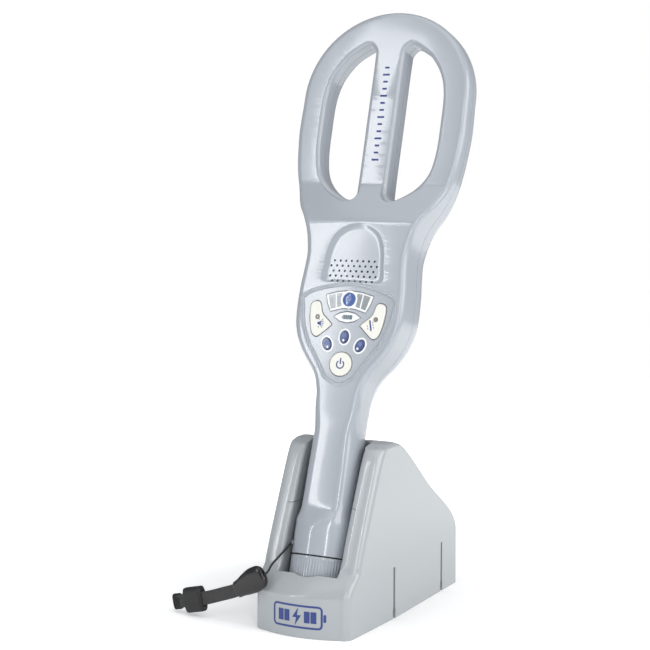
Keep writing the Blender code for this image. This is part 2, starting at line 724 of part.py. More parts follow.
def cradle_section(z, inset):
    """Plan outline of the cradle at a height, as (x, y) points."""
    front = cradle_front(z) + inset
    back = cradle_back(z) - inset
    bulge = BULGE * min(max((0.050 - z) / 0.022, 0.0), 1.0)
    round_f, round_b = 0.0075 - inset, 0.0050 - inset
    half = cradle_half(front + 0.008, z) - inset
    points = []
    for u in (0.0, 0.4, 0.75):
        x = u * (half - round_f)
        points.append((x, front + bulge * (x / half) ** 2 * 0.85))
    corner_y = front + bulge * 0.85 * ((half - round_f) / half) ** 2
    for k in range(4):
        a = math.pi / 2 * k / 3
        points.append((half - round_f + round_f * math.sin(a), corner_y + round_f * (1 - math.cos(a))))
    mid = min(max(FRONT + 0.075, corner_y + round_f + 0.001), back - round_b - 0.001)
    points.append((cradle_half(mid, z) - inset, mid))
    rear = cradle_half(back, z) - inset
    for k in range(3):
        a = math.pi / 2 * k / 2
        points.append((rear - round_b + round_b * math.cos(a), back - round_b + round_b * math.sin(a)))
    mirror = [(-x, y) for x, y in points[:0:-1]]
    return points + mirror


def cradle_levels(top):
    return [0.0, 0.029, 0.0315, 0.0345, LIP_Z, 0.043, 0.0465, 0.052, 0.066, 0.088, 0.106, 0.119,
            top - 0.006, top - 0.0025, top - 0.0008, top]


def cradle_solid(name, inset, low, mat):
    rings = []
    for z in cradle_levels(CRADLE_H):
        shrink = max(z - (CRADLE_H - 0.0025), 0.0) * 0.8
        use = max(z - inset, 0.0) if inset else z
        ring = cradle_section(z, inset + shrink)
        rings.append([Vector((x, y, low if z == 0.0 else use)) for x, y in ring])
    return loft(name, rings, mat)


def trough_ring(rx, ry, s, mouth):
    """Section of the trough, in the wand's frame: round, or with its mouth open to the front."""
    ring = []
    for k in range(13):
        a = math.pi * k / 12
        ring.append(Vector((rx * math.cos(a), ry * math.sin(a), s)))
    for k in range(1, 12):
        a = math.pi + math.pi * k / 12
        point = Vector((rx * math.cos(a), rx * math.sin(a), s))
        if mouth:
            deep = 0.060 * (min(k, 12 - k) / 4 if min(k, 12 - k) < 4 else 1.0)
            across = -rx if k <= 4 else rx if k >= 8 else rx * (k - 6) / 2
            point = Vector((across, -deep, s))
        ring.append(point)
    return ring


def trough_tool(name, low, high, more, frame):
    """Room for the cap and handle, open to the front above the lip."""
    lower = CAP_R + TROUGH_GAP + more
    upper = lower - 0.0006
    sill = TROUGH_SILL - more
    rings = [
        trough_ring(lower, lower, low, False), trough_ring(lower, lower, sill, False),
        trough_ring(lower, lower, sill + 0.0001, True), trough_ring(lower, lower + 0.0010, 0.062, True),
        trough_ring(upper, lower + 0.0022, 0.0622, True), trough_ring(upper, lower + 0.0022, high, True),
    ]
    return loft(name, rings, None, frame)


def cradle(frame, mats):
    housing = cradle_solid("cradle_housing", 0.0, 0.0, mats["cradle"])
    hollow = cradle_solid("tool_hollow", CRADLE_WALL, -0.01, None)
    keep = trough_tool("tool_keep", -0.0003 - CRADLE_WALL, 0.140, CRADLE_WALL, frame)
    cut(hollow, keep)
    cut(housing, hollow)
    trough = trough_tool("tool_trough", -0.0003, 0.160, 0.0, frame)
    cut(housing, trough)
    slits(housing)
    sockets(housing, frame, mats)
    base(housing, mats)


def slits(housing):
    """Two upright slits in each side, a little wider at the foot."""
    for k, y in enumerate((FRONT + 0.075, FRONT + 0.162)):
        for side, word in ((-1, "left"), (1, "right")):
            x = side * cradle_half(y, 0.0)
            low = (min(x - side * 0.006, x + side * 0.006), y - SLIT_W / 2, -0.005)
            high = (max(x - side * 0.006, x + side * 0.006), y + SLIT_W / 2, SLIT_H)
            cut(housing, box("tool_slit_%s_%d" % (word, k), low, high, None))
            low = (low[0], y - 0.0017, -0.006)
            high = (high[0], y + 0.0017, 0.0075)
            cut(housing, box("tool_slit_foot_%s_%d" % (word, k), low, high, None))


def sockets(housing, frame, mats):
    """Sprung charging pins in the seat, their board, and the power socket at the back."""
    for k, x in enumerate((0.0, 0.0100)):
        place = Matrix.Translation((x, 0, 0))
        hole = disc("tool_pin_%d" % k, 0.0015, -0.006, 0.001, 12, None, frame, place)
        cut(housing, hole)
        loop = [(0, -0.0090), (0.0011, -0.0090), (0.0011, -0.0004), (0.0006, -0.0001), (0, -0.0001)]
        lathe("charge_pin_%d" % (k + 1), loop, 12, mats["steel"], frame, place)
    box("charge_board", (-0.016, -0.010, -0.0115), (0.016, 0.014, -0.0099), mats["board"], frame)
    spot = Matrix.Translation((0.0, BACK, 0.014)) @ Matrix.Rotation(math.pi / 2, 4, "X")
    hole = disc("tool_power_hole", 0.0042, -0.005, 0.005, 20, None, None, spot)
    cut(housing, hole)
    loop = [(0, 0.0100), (0.0050, 0.0100), (0.0050, 0.0030), (0.0038, 0.0028), (0.0038, 0.0002),
            (0.0027, 0.0002), (0.0027, 0.0080), (0.0009, 0.0080), (0.0009, 0.0015), (0, 0.0015)]
    lathe("power_socket", loop, 20, mats["black"], None, spot)


def base(housing, mats):
    """Flat underside that closes the cradle, with its pads and screws."""
    inset = CRADLE_WALL + GAP
    loop = cradle_section(0.0, inset)
    rings = [[Vector((x, y, z)) for x, y in loop] for z in (0.0, BASE_T)]
    bottom = loft("cradle_base", rings, mats["base"])
    x = CRADLE_W / 2 - CRADLE_WALL
    spots = [(-x + 0.0062, FRONT + 0.034), (x - 0.0062, FRONT + 0.034),
             (-x + 0.0028, BACK - 0.014), (x - 0.0028, BACK - 0.014)]
    for k, (sx, sy) in enumerate(spots):
        place = Matrix.Translation((sx, sy, 0))
        post = disc("tool_base_post_%d" % k, 0.0034, BASE_T + GAP, 0.014, 12, None, None, place)
        cut(housing, post, "UNION")
        if k < 2:
            side = -1 if sx < 0 else 1
            near = sx + side * 0.0021
            low = (min(near, sx + side * 0.0075), sy - 0.0012, BASE_T + 2 * GAP)
            high = (max(near, sx + side * 0.0075), sy + 0.0012, 0.0130)
            cut(housing, box("tool_rib_%d" % k, low, high, None), "UNION")
        cut(housing, disc("tool_post_hole_%d" % k, 0.0015, 0.0, 0.0125, 12, None, None, place))
        cut(bottom, disc("tool_base_hole_%d" % k, 0.0016, -0.001, 0.01, 12, None, None, place))
        cut(bottom, disc("tool_base_sink_%d" % k, 0.0031, -0.001, 0.0016, 12, None, None, place))
        loop = [(0, 0.0004), (0.0020, 0.0004), (0.0026, 0.0008), (0.0026, 0.0013), (0.0012, 0.0013),
                (0.0012, 0.0110), (0, 0.0110)]
        lathe("base_screw_%d" % (k + 1), loop, 12, mats["steel"], None, place)
    for k, (px, py) in enumerate([(-0.026, FRONT + 0.026), (0.026, FRONT + 0.026),
                                  (-0.028, BACK - 0.018), (0.028, BACK - 0.018)]):
        place = Matrix.Translation((px, py, 0))
        cut(bottom, disc("tool_pad_%d" % k, 0.0053, -0.001, 0.0014, 16, None, None, place))
        disc("rubber_foot_%d" % (k + 1), 0.0050, 0.0, 0.0011, 16, mats["rubber"], None, place)


# ------------------------------------------------------------------ strap
def tube(name, points, diameter, mat):
    wire = bpy.data.curves.new(name, "CURVE")
    wire.dimensions = "3D"
    wire.bevel_depth = diameter / 2
    wire.bevel_resolution = 2
    wire.use_fill_caps = True
    line = wire.splines.new("POLY")
    line.points.add(len(points) - 1)
    for spot, point in zip(line.points, points):
        spot.co = (*point, 1.0)
    obj = bpy.data.objects.new(name, wire)
    bpy.context.scene.collection.objects.link(obj)
    obj.data.materials.append(mat)
    return obj


def open_curve(spots, steps):
    """Catmull-Rom through 3-D points, ends included."""
    spots = [Vector(p) for p in spots]
    spots = [2 * spots[0] - spots[1]] + spots + [2 * spots[-1] - spots[-2]]
    line = []
    for i in range(1, len(spots) - 2):
        a, b, c, d = spots[i - 1:i + 3]
        for k in range(steps):
            t = k / steps
            line.append(0.5 * (2 * b + (c - a) * t + (2 * a - 5 * b + 4 * c - d) * t * t
                               + (3 * b - a - 3 * c + d) * t ** 3))
    return line + [spots[-2]]


def strap_line():
    """Middle of the webbing, from inside the tab to the far end, on edge above the floor."""
    x = -CRADLE_W / 2
    return [
        Vector((x - 0.0011, FRONT + 0.0035, 0.0327)), Vector((x - 0.0100, FRONT + 0.0048, 0.0271)),
        Vector((x - 0.0245, FRONT + 0.0080, 0.0215)), Vector((x - 0.0348, FRONT + 0.0108, 0.0176)),
        Vector((x - 0.0421, FRONT + 0.0129, 0.0151)), Vector((x - 0.0520, FRONT + 0.0150, 0.0124)),
        Vector((x - 0.0620, FRONT + 0.0171, 0.0097)), Vector((x - 0.0700, FRONT + 0.0188, 0.0076)),
    ]


def webbing(mats):
    """One band folded back on itself: two layers on edge, joined at both ends."""
    line = open_curve(strap_line(), 3)
    offset = 0.0010
    outer = []
    inner = []
    up = []
    for k, point in enumerate(line):
        ahead = line[min(k + 1, len(line) - 1)] - line[max(k - 1, 0)]
        ahead.normalize()
        side = ahead.cross(Vector((0, 0, 1))).normalized()
        up.append(side.cross(ahead).normalized())
        outer.append((point, side))
        inner.append((point, side))
    count = len(line)
    path_out = [p + s * (offset + WEB_T) for p, s in outer]
    path_back = [p - s * (offset + WEB_T) for p, s in reversed(inner)]
    path_in = [p + s * offset for p, s in outer]
    path_in_back = [p - s * offset for p, s in reversed(inner)]
    start = (line[1] - line[0]).normalized()
    end = (line[-1] - line[-2]).normalized()
    nose_out = line[-1] + end * 0.0022
    nose_in = line[-1] + end * 0.0011
    tail_out = line[0] - start * 0.0022
    tail_in = line[0] - start * 0.0011
    out = path_out + [nose_out] + path_back + [tail_out]
    inn = path_in + [nose_in] + path_in_back + [tail_in]
    lift = up + [up[-1]] + up[::-1] + [up[0]]
    verts = []
    for o, i, u in zip(out, inn, lift):
        verts += [o - u * WEB_W / 2, o + u * WEB_W / 2, i + u * WEB_W / 2, i - u * WEB_W / 2]
    faces = []
    total = 2 * count + 2
    for k in range(total):
        a, b = k * 4, (k + 1) % total * 4
        for i in range(4):
            j = (i + 1) % 4
            faces.append((a + i, a + j, b + j, b + i))
    mesh_object("strap_webbing", verts, faces, mats["web"])


def frame_at(point, ahead):
    """Matrix with x along the strap, z up across the band."""
    x = ahead.normalized()
    y = x.cross(Vector((0, 0, 1))).normalized() * -1
    z = x.cross(y).normalized()
    if z.z < 0:
        y, z = -y, -z
    turn = Matrix((x, y, z)).transposed().to_4x4()
    return Matrix.Translation(point) @ turn


def superellipse(a, b, count, power):
    ring = []
    for k in range(count):
        t = 2 * math.pi * k / count
        c, s = math.cos(t), math.sin(t)
        ring.append((a * math.copysign(abs(c) ** power, c), b * math.copysign(abs(s) ** power, s)))
    return ring


def strap_pieces(frame, mats):
    line = strap_line()
    ahead = line[1] - line[0]
    place = frame_at(line[0], ahead)
    rows = [(-0.0190, 0.0021, 0.0032), (-0.0180, 0.0028, 0.0058), (-0.0140, 0.0034, 0.0085),
            (-0.0080, 0.0037, 0.0092), (-0.0010, 0.0036, 0.0082), (0.0060, 0.0033, 0.0066),
            (0.0100, 0.0031, 0.0061), (0.0106, 0.0028, 0.0058)]
    rings = []
    for x, thick, tall in rows:
        ring = superellipse(thick, tall, 16, 0.75)
        rings.append([place @ Vector((x, a, b)) for a, b in ring])
    tab = loft("strap_tab", rings, mats["black"])
    room = box("tool_tab_room", (-0.0028, -0.0024, -0.0053), (0.020, 0.0024, 0.0053), None)
    room.matrix_world = place
    cut(tab, room)
    drill = disc("tool_tab_hole", 0.0013, -0.030, -0.0125, 10, None, None,
                 place @ Matrix.Rotation(math.pi / 2, 4, "Y"))
    cut(tab, drill)
    far = line[-1] - line[-2]
    spot = line[-3]
    place_s = frame_at(spot, far)
    rings = []
    for x, thick, tall in ((-0.0095, 0.0030, 0.0070), (-0.0085, 0.0038, 0.0078), (-0.0080, 0.0042, 0.0095),
                           (0.0075, 0.0042, 0.0095), (0.0080, 0.0038, 0.0078), (0.0095, 0.0030, 0.0070)):
        ring = superellipse(thick, tall, 16, 0.55)
        rings.append([place_s @ Vector((x, a, b)) for a, b in ring])
    slider = loft("strap_slider", rings, mats["black"])
    room = box("tool_slider_room", (-0.02, -0.0024, -0.0054), (0.02, 0.0024, 0.0054), None)
    room.matrix_world = place_s
    cut(slider, room)
    start = frame.matrix_world @ (Matrix.Rotation(LUG_TURN, 4, "Z")
                                  @ Vector((CAP_R + 0.0014, 0.0, along(LUG_Z))))
    end = place @ Vector((-0.0135, 0, 0))
    mid = place @ Vector((-0.0225, 0, 0))
    mouth = place @ Vector((-0.0180, 0, 0))
    route = [start, Vector((-0.0218, FRONT + 0.0237, 0.0563)), Vector((-0.0236, FRONT + 0.0170, 0.0523)),
             Vector((-0.0252, FRONT + 0.0095, 0.0480)), mid, mouth, end]
    tube("strap_cord", open_curve(route, 5), CORD_D, mats["black"])


def build():
    clear_scene()
    mats = {
        "grey": material("shell_grey", (0.44, 0.47, 0.53), 0.25),
        "cradle": material("cradle_grey", (0.46, 0.49, 0.52), 0.3),
        "cream": material("key_cream", (0.78, 0.77, 0.70), 0.4),
        "navy": material("key_navy", (0.03, 0.06, 0.25), 0.3),
        "window": material("display_grey", (0.25, 0.27, 0.29), 0.2),
        "lens": material("led_lens", (0.30, 0.29, 0.27), 0.2),
        "black": material("moulded_black", (0.01, 0.01, 0.011), 0.5),
        "web": material("webbing_black", (0.008, 0.008, 0.009), 0.9),
        "rubber": material("rubber", (0.02, 0.02, 0.02), 0.8),
        "steel": material("steel", (0.6, 0.6, 0.6), 0.3, 1.0),
        "board": material("circuit_board", (0.02, 0.18, 0.07), 0.5),
        "cell": material("cell_sleeve", (0.05, 0.15, 0.3), 0.4),
        "copper": material("coil_copper", (0.7, 0.3, 0.12), 0.4, 1.0),
        "base": material("base_grey", (0.2, 0.21, 0.22), 0.6),
    }
    frame = bpy.data.objects.new("wand_frame", None)
    bpy.context.scene.collection.objects.link(frame)
    frame.location = (0.0, SEAT_Y, SEAT_Z)
    frame.rotation_euler = (-LEAN, 0.0, 0.0)
    bpy.context.view_layer.update()
    shells(frame, mats)
    coil(frame, mats["copper"])
    insides(frame, mats)
    battery_cap(frame, mats)
    cradle(frame, mats)
    webbing(mats)
    strap_pieces(frame, mats)


build()
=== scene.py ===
# %% [markdown]
# This script dresses a hand-held scanning wand and its charging cradle. The wand has a loop head with two
# D-shaped openings, a loudspeaker, a keypad, a round handle and a ribbed battery cap, and it stands in the
# cradle, leaning back a little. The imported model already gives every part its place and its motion.
# So the script starts by loading that model, and every new surface is laid over it in the same metres.

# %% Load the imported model
import json
import math

import bmesh
import bpy
from mathutils import Matrix, Vector

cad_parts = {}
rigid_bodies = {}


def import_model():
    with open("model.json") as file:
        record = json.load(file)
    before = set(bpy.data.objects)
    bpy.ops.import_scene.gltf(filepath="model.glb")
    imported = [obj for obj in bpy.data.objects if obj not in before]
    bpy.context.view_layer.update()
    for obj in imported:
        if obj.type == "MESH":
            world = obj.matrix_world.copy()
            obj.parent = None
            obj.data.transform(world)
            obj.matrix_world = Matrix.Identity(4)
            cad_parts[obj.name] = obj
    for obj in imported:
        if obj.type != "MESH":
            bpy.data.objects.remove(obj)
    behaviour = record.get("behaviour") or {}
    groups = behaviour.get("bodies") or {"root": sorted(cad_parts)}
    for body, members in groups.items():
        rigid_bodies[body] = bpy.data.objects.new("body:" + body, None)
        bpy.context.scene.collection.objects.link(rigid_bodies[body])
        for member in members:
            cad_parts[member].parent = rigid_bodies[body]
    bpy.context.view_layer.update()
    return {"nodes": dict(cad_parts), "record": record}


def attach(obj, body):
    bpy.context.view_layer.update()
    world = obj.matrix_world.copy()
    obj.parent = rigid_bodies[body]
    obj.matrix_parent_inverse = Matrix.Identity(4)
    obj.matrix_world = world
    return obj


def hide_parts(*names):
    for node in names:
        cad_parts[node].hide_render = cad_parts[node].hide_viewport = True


for leftover in list(bpy.data.objects):
    bpy.data.objects.remove(leftover)
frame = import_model()
nodes = frame["nodes"]

# %% [markdown]
# The camera looks at the cradle's front from a little to the right and slightly above. A long lens keeps the
# upright lines almost parallel, as in a catalogue picture. It comes first, because the strap's cord is
# checked against what the camera sees.

# %% Camera
lens = bpy.data.cameras.new("catalogue_camera")
lens.lens = 94.15
lens.sensor_width = 36.0
lens.clip_end = 20.0
camera = bpy.data.objects.new("catalogue_camera", lens)
camera.location = (0.5582, -1.1348, 0.3538)
camera.rotation_euler = (math.radians(83.7), 0.0, math.radians(27.3))
bpy.context.scene.collection.objects.link(camera)
bpy.context.scene.camera = camera

# %% [markdown]
# These are the object's own sizes in metres. A station is a distance along the wand's axis from the end of
# its battery cap. The wand has its own directions too: x to its right, minus y out of its keypad face and
# z along its axis. One matrix turns a place on the wand into a place in the room.

# %% Sizes and the wand's own frame
LENGTH, HEAD_W, HEAD_T = 0.440, 0.140, 0.020
BODY_W, BODY_T = 0.0884, 0.043
HANDLE_W, HANDLE_BACK = 0.0376, 0.0235
CAP_R, CAP_H, COLLAR_Z = 0.0223, 0.0212, 0.0223
WALL, GAP = 0.0022, 0.0003
FACE_Y, HEAD_Y = -0.0125, -0.0005
SPLIT_Y = HEAD_Y + HEAD_T / 2
BAR_W, RIM_W, RIM_ROUND = 0.018, 0.0178, 0.0035
PANEL_DEPTH, KEY_GAP, KEY_PROUD = 0.001, 0.0003, 0.0011
CRADLE_L, CRADLE_W, CRADLE_FRONT_W, CRADLE_H = 0.195, 0.0834, 0.0772, 0.131
CRADLE_WALL, LIP_Z, BULGE, BACK_Z = 0.0025, 0.0395, 0.011, 0.048
TROUGH_GAP, TROUGH_SILL = 0.0013, 0.0078
SEAT_Y, SEAT_Z = 0.0329 - CRADLE_L / 2, 0.0289
FRONT, BACK = -CRADLE_L / 2, CRADLE_L / 2
LEAN = math.radians(17.0)
wand_place = Matrix.Translation((0.0, SEAT_Y, SEAT_Z)) @ Matrix.Rotation(-LEAN, 4, "X")
print("the head's top is at", [round(v, 4) for v in wand_place @ Vector((0, 0, LENGTH))])

# %% [markdown]
# Moulded plastic is never one flat colour. Its tint drifts a little, its gloss changes where it has been
# handled, its skin has a very fine grain that breaks up highlights, and raised edges carry a painted
# highlight.
# One function builds such a finish from noise on the object's own coordinates, so that a pattern stays the
# same size on a small key and on the whole cradle. Values that don't vary are set on the shader itself.


# %% A finish for moulded plastic
def shades(colour, factor):
    return (*[min(c * factor, 1.0) for c in colour], 1.0)


def noise(tree, source, scale, detail=3.0, rough=0.5):
    node = tree.nodes.new("ShaderNodeTexNoise")
    node.inputs["Scale"].default_value = scale
    node.inputs["Detail"].default_value = detail
    node.inputs["Roughness"].default_value = rough
    tree.links.new(source, node.inputs["Vector"])
    return node.outputs["Fac"]


def spread(tree, source, low, high, start=0.3, stop=0.7):
    node = tree.nodes.new("ShaderNodeMapRange")
    node.inputs["From Min"].default_value = start
    node.inputs["From Max"].default_value = stop
    node.inputs["To Min"].default_value = low
    node.inputs["To Max"].default_value = high
    tree.links.new(source, node.inputs["Value"])
    return node.outputs["Result"]


def blend_colour(tree, factor, first, second):
    node = tree.nodes.new("ShaderNodeMix")
    node.data_type = "RGBA"
    for socket, value in ((node.inputs[6], first), (node.inputs[7], second)):
        if isinstance(value, tuple):
            socket.default_value = value
        else:
            tree.links.new(value, socket)
    tree.links.new(factor, node.inputs[0])
    return node.outputs[2]


def moulded(name, colour, rough, grain=0.12, drift=0.03, edge_highlight_strength=0.10, coat=0.0, metal=0.0, fine=1500.0):
    finish = bpy.data.materials.new(name)
    finish.use_nodes = True
    tree = finish.node_tree
    shader = tree.nodes["Principled BSDF"]
    shader.inputs["Metallic"].default_value = metal
    shader.inputs["Coat Weight"].default_value = coat
    shader.inputs["Coat Roughness"].default_value = 0.06
    place = tree.nodes.new("ShaderNodeTexCoord").outputs["Object"]
    cloud = noise(tree, place, 22.0, 4.0)
    tint = blend_colour(tree, cloud, shades(colour, 1 - drift), shades(colour, 1 + drift))
    shape = tree.nodes.new("ShaderNodeNewGeometry").outputs["Pointiness"]
    # Raised edges are painted paler from the mesh's pointiness, a painted highlight along them.
    edge_highlight_mask = spread(tree, shape, 0.0, edge_highlight_strength * 3.0, 0.515, 0.60)
    tint = blend_colour(tree, edge_highlight_mask, tint, shades(colour, 1.22))
    tree.links.new(tint, shader.inputs["Base Color"])
    handled = noise(tree, place, 60.0, 6.0, 0.65)
    tree.links.new(spread(tree, handled, rough * 0.92, rough * 1.12), shader.inputs["Roughness"])
    relief = tree.nodes.new("ShaderNodeBump")
    relief.inputs["Strength"].default_value = grain
    relief.inputs["Distance"].default_value = 0.0001
    tree.links.new(noise(tree, place, fine, 2.0), relief.inputs["Height"])
    tree.links.new(relief.outputs["Normal"], shader.inputs["Normal"])
    return finish


# %% [markdown]
# The wand and the cradle are the same light grey plastic with a hint of blue, the wand glossier. The keys
# are a warm cream or a deep navy, the windows grey and slightly clear, and the strap's mouldings black.

# %% Plastics, rubber and metals
shell_grey = moulded("shell_grey", (0.345, 0.372, 0.412), 0.17, 0.05, 0.015, 0.04, 0.40)
cradle_grey = moulded("cradle_grey", (0.362, 0.388, 0.408), 0.21, 0.07, 0.008, 0.02, 0.30)
key_cream = moulded("key_cream", (0.76, 0.76, 0.70), 0.42, 0.20, 0.03, 0.04)
ring_white = moulded("ring_white", (0.84, 0.86, 0.86), 0.38, 0.10, 0.02, 0.02)
key_navy = moulded("key_navy", (0.020, 0.040, 0.170), 0.24, 0.10, 0.08, 0.03, 0.4)
ink_navy = moulded("ink_navy", (0.022, 0.045, 0.200), 0.36, 0.08, 0.10, 0.02)
ink_blue = moulded("ink_blue", (0.085, 0.140, 0.300), 0.30, 0.08, 0.10, 0.02)
# This grey serves printed lines and the painted shadow lines round the keys.
ink_and_shadow_grey = moulded("ink_and_shadow_grey", (0.100, 0.125, 0.150), 0.42, 0.08, 0.08, 0.02)
lens_blue = moulded("lens_blue", (0.060, 0.120, 0.330), 0.16, 0.05, 0.10, 0.02, 0.6)
window_grey = moulded("window_grey", (0.225, 0.250, 0.265), 0.20, 0.05, 0.06, 0.02, 0.5)
led_brown = moulded("led_brown", (0.190, 0.175, 0.150), 0.22, 0.05, 0.08, 0.02, 0.5)
icon_teal = moulded("icon_teal", (0.190, 0.270, 0.285), 0.30, 0.05, 0.08, 0.02)
base_grey = moulded("base_grey", (0.200, 0.212, 0.222), 0.55, 0.30, 0.05, 0.08, 0.0, 0.0, 900.0)
gloss_black = moulded("gloss_black", (0.006, 0.006, 0.007), 0.26, 0.10, 0.20, 0.08, 0.1)
matt_black = moulded("matt_black", (0.007, 0.007, 0.008), 0.50, 0.30, 0.20, 0.08, 0.0, 0.0, 1100.0)
foot_rubber = moulded("foot_rubber", (0.020, 0.020, 0.020), 0.82, 0.5, 0.15, 0.10, 0.0, 0.0, 800.0)
screw_steel = moulded("screw_steel", (0.56, 0.56, 0.57), 0.30, 0.15, 0.05, 0.10, 0.0, 1.0, 2600.0)
pin_steel = moulded("pin_steel", (0.74, 0.68, 0.50), 0.22, 0.08, 0.05, 0.10, 0.0, 1.0, 2600.0)
coil_copper = moulded("coil_copper", (0.70, 0.30, 0.12), 0.35, 0.6, 0.10, 0.10, 0.0, 1.0, 1400.0)
board_green = moulded("board_green", (0.016, 0.150, 0.060), 0.40, 0.25, 0.15, 0.05, 0.2)
cell_sleeve = moulded("cell_sleeve", (0.045, 0.130, 0.270), 0.30, 0.10, 0.08, 0.05, 0.2)
print(len(bpy.data.materials), "finishes")

# %% [markdown]
# Most shapes here are skins stretched over a row of outlines. The outlines could be listed as points and
# faces by hand, but an operator keeps the work short: a ring of edges is made once, and each next outline
# is an extrusion of the last one whose points are then put in their new places.


# %% Stretch a skin over outlines
def first_ring(bm, points, closed):
    verts = [bm.verts.new(point) for point in points]
    start = 0 if closed else 1
    edges = [bm.edges.new((verts[i - 1], verts[i])) for i in range(start, len(verts))]
    return verts, edges


def next_ring(bm, verts, edges, points):
    made = bmesh.ops.extrude_edge_only(bm, edges=edges)["geom"]
    fresh = {part for part in made if isinstance(part, bmesh.types.BMVert)}
    above = []
    for old, spot in zip(verts, points):
        new = next(edge.other_vert(old) for edge in old.link_edges if edge.other_vert(old) in fresh)
        new.co = spot
        above.append(new)
    rim = [part for part in made if isinstance(part, bmesh.types.BMEdge)
           and all(vert in fresh for vert in part.verts)]
    return above, rim


def skin(bm, rings, closed=True, ends=True):
    verts, edges = first_ring(bm, rings[0], closed)
    lowest = list(verts)
    for points in rings[1:]:
        verts, edges = next_ring(bm, verts, edges, points)
    if ends:
        bm.faces.new(lowest)
        bm.faces.new(verts)


def turned(bm, profile, sides, place=None):
    """A closed outline of (radius, height) spun about the z axis."""
    place = place or Matrix()
    verts = [bm.verts.new((radius, 0.0, height)) for radius, height in profile]
    edges = [bm.edges.new((verts[i - 1], verts[i])) for i in range(len(verts))]
    edges = [edge for edge in edges if max(abs(vert.co.x) for vert in edge.verts) > 1e-9]
    made = bmesh.ops.spin(bm, geom=verts + edges, axis=(0, 0, 1), cent=(0, 0, 0), steps=sides,
                          angle=2 * math.pi, use_merge=True)
    loose = [edge for edge in bm.edges if not edge.link_faces]
    bmesh.ops.delete(bm, geom=loose, context="EDGES")
    bmesh.ops.remove_doubles(bm, verts=bm.verts, dist=1e-7)
    bmesh.ops.transform(bm, matrix=place, verts=bm.verts)
    return made


# %% [markdown]
# A bmesh becomes a piece once its doubled points are merged and its faces look outwards. Pieces of the wand
# are made in the wand's own frame and then moved, so that the object itself can stay at the origin.


# %% Turn a bmesh into a piece
def piece_from(bm, name, place=None):
    bmesh.ops.remove_doubles(bm, verts=bm.verts, dist=1e-7)
    bmesh.ops.recalc_face_normals(bm, faces=bm.faces)
    if bm.calc_volume(signed=True) < 0:
        bmesh.ops.reverse_faces(bm, faces=bm.faces)
    if place:
        bmesh.ops.transform(bm, matrix=place, verts=bm.verts)
    mesh = bpy.data.meshes.new(name)
    bm.to_mesh(mesh)
    bm.free()
    piece = bpy.data.objects.new(name, mesh)
    bpy.context.scene.collection.objects.link(piece)
    return piece


def skinned(name, rings, place=None, closed=True, ends=True):
    bm = bmesh.new()
    skin(bm, rings, closed, ends)
    return piece_from(bm, name, place)


def lathed(name, profile, sides, place=None):
    bm = bmesh.new()
    turned(bm, profile, sides)
    return piece_from(bm, name, place)


def block(name, low, high, place=None):
    bm = bmesh.new()
    bmesh.ops.create_cube(bm, size=1.0)
    size = [h - l for l, h in zip(low, high)]
    middle = [(h + l) / 2 for l, h in zip(low, high)]
    bmesh.ops.scale(bm, vec=size, verts=bm.verts)
    bmesh.ops.translate(bm, vec=middle, verts=bm.verts)
    return piece_from(bm, name, place)


def carve(piece, *tools, operation="DIFFERENCE"):
    """Cuts the tools out of the piece for good, and throws the tools away."""
    for tool in tools:
        step = piece.modifiers.new("carve", "BOOLEAN")
        step.operation = operation
        step.solver = "EXACT"
        step.object = tool
    bpy.context.view_layer.update()
    graph = bpy.context.evaluated_depsgraph_get()
    shape = bpy.data.meshes.new_from_object(piece.evaluated_get(graph))
    piece.modifiers.clear()
    piece.data = shape
    for tool in tools:
        bpy.data.objects.remove(tool)
    return piece


def together(name, tools):
    """Several separate tools as one, so that they cut in one step."""
    bm = bmesh.new()
    for tool in tools:
        bm.from_mesh(tool.data)
        bpy.data.objects.remove(tool)
    mesh = bpy.data.meshes.new(name)
    bm.to_mesh(mesh)
    bm.free()
    tool = bpy.data.objects.new(name, mesh)
    bpy.context.scene.collection.objects.link(tool)
    return tool


def dress(piece, finish, body, stands_for=(), sharp=32.0, even=True):
    """Finish, smooth shading that keeps true corners, and the body that the piece rides on."""
    piece.data.materials.clear()
    piece.data.materials.append(finish)
    piece.data.shade_smooth()
    piece.data.set_sharp_from_angle(angle=math.radians(sharp))
    if even:
        flat = piece.modifiers.new("even_highlights", "WEIGHTED_NORMAL")
        flat.keep_sharp = True
        flat.weight = 60
    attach(piece, body)
    if stands_for:
        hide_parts(*stands_for)
    return piece


# %% [markdown]
# Outlines are drawn from a few marks each. A curve through rows of (station, value) that never overshoots
# its marks gives a width or a depth at any station, and a closed curve through a few points gives the
# outline of a key or an opening. Growing an outline moves it sideways by the same amount everywhere.


# %% Smooth curves through a few marks
def value_at(rows, station):
    places = [row[0] for row in rows]
    values = [row[1] for row in rows]
    if station <= places[0]:
        return values[0]
    if station >= places[-1]:
        return values[-1]
    k = max(i for i in range(len(rows) - 1) if places[i] <= station)
    run = places[k + 1] - places[k]
    slopes = []
    for i in (k, k + 1):
        if 0 < i < len(rows) - 1:
            left = (values[i] - values[i - 1]) / (places[i] - places[i - 1])
            right = (values[i + 1] - values[i]) / (places[i + 1] - places[i])
            slopes.append(0 if left * right <= 0 else 2 * left * right / (left + right))
        else:
            slopes.append(0)
    t = (station - places[k]) / run
    start = values[k] * (1 + 2 * t) * (1 - t) ** 2 + slopes[0] * run * t * (1 - t) ** 2
    return start + values[k + 1] * t * t * (3 - 2 * t) + slopes[1] * run * t * t * (t - 1)


def closed_curve(points, steps):
    spots = [Vector(p) for p in points]
    count = len(spots)
    loop = []
    for i in range(count):
        a, b, c, d = (spots[(i + k) % count] for k in (-1, 0, 1, 2))
        for k in range(steps):
            t = k / steps
            loop.append(0.5 * (2 * b + (c - a) * t + (2 * a - 5 * b + 4 * c - d) * t * t
                               + (3 * b - a - 3 * c + d) * t ** 3))
    return loop


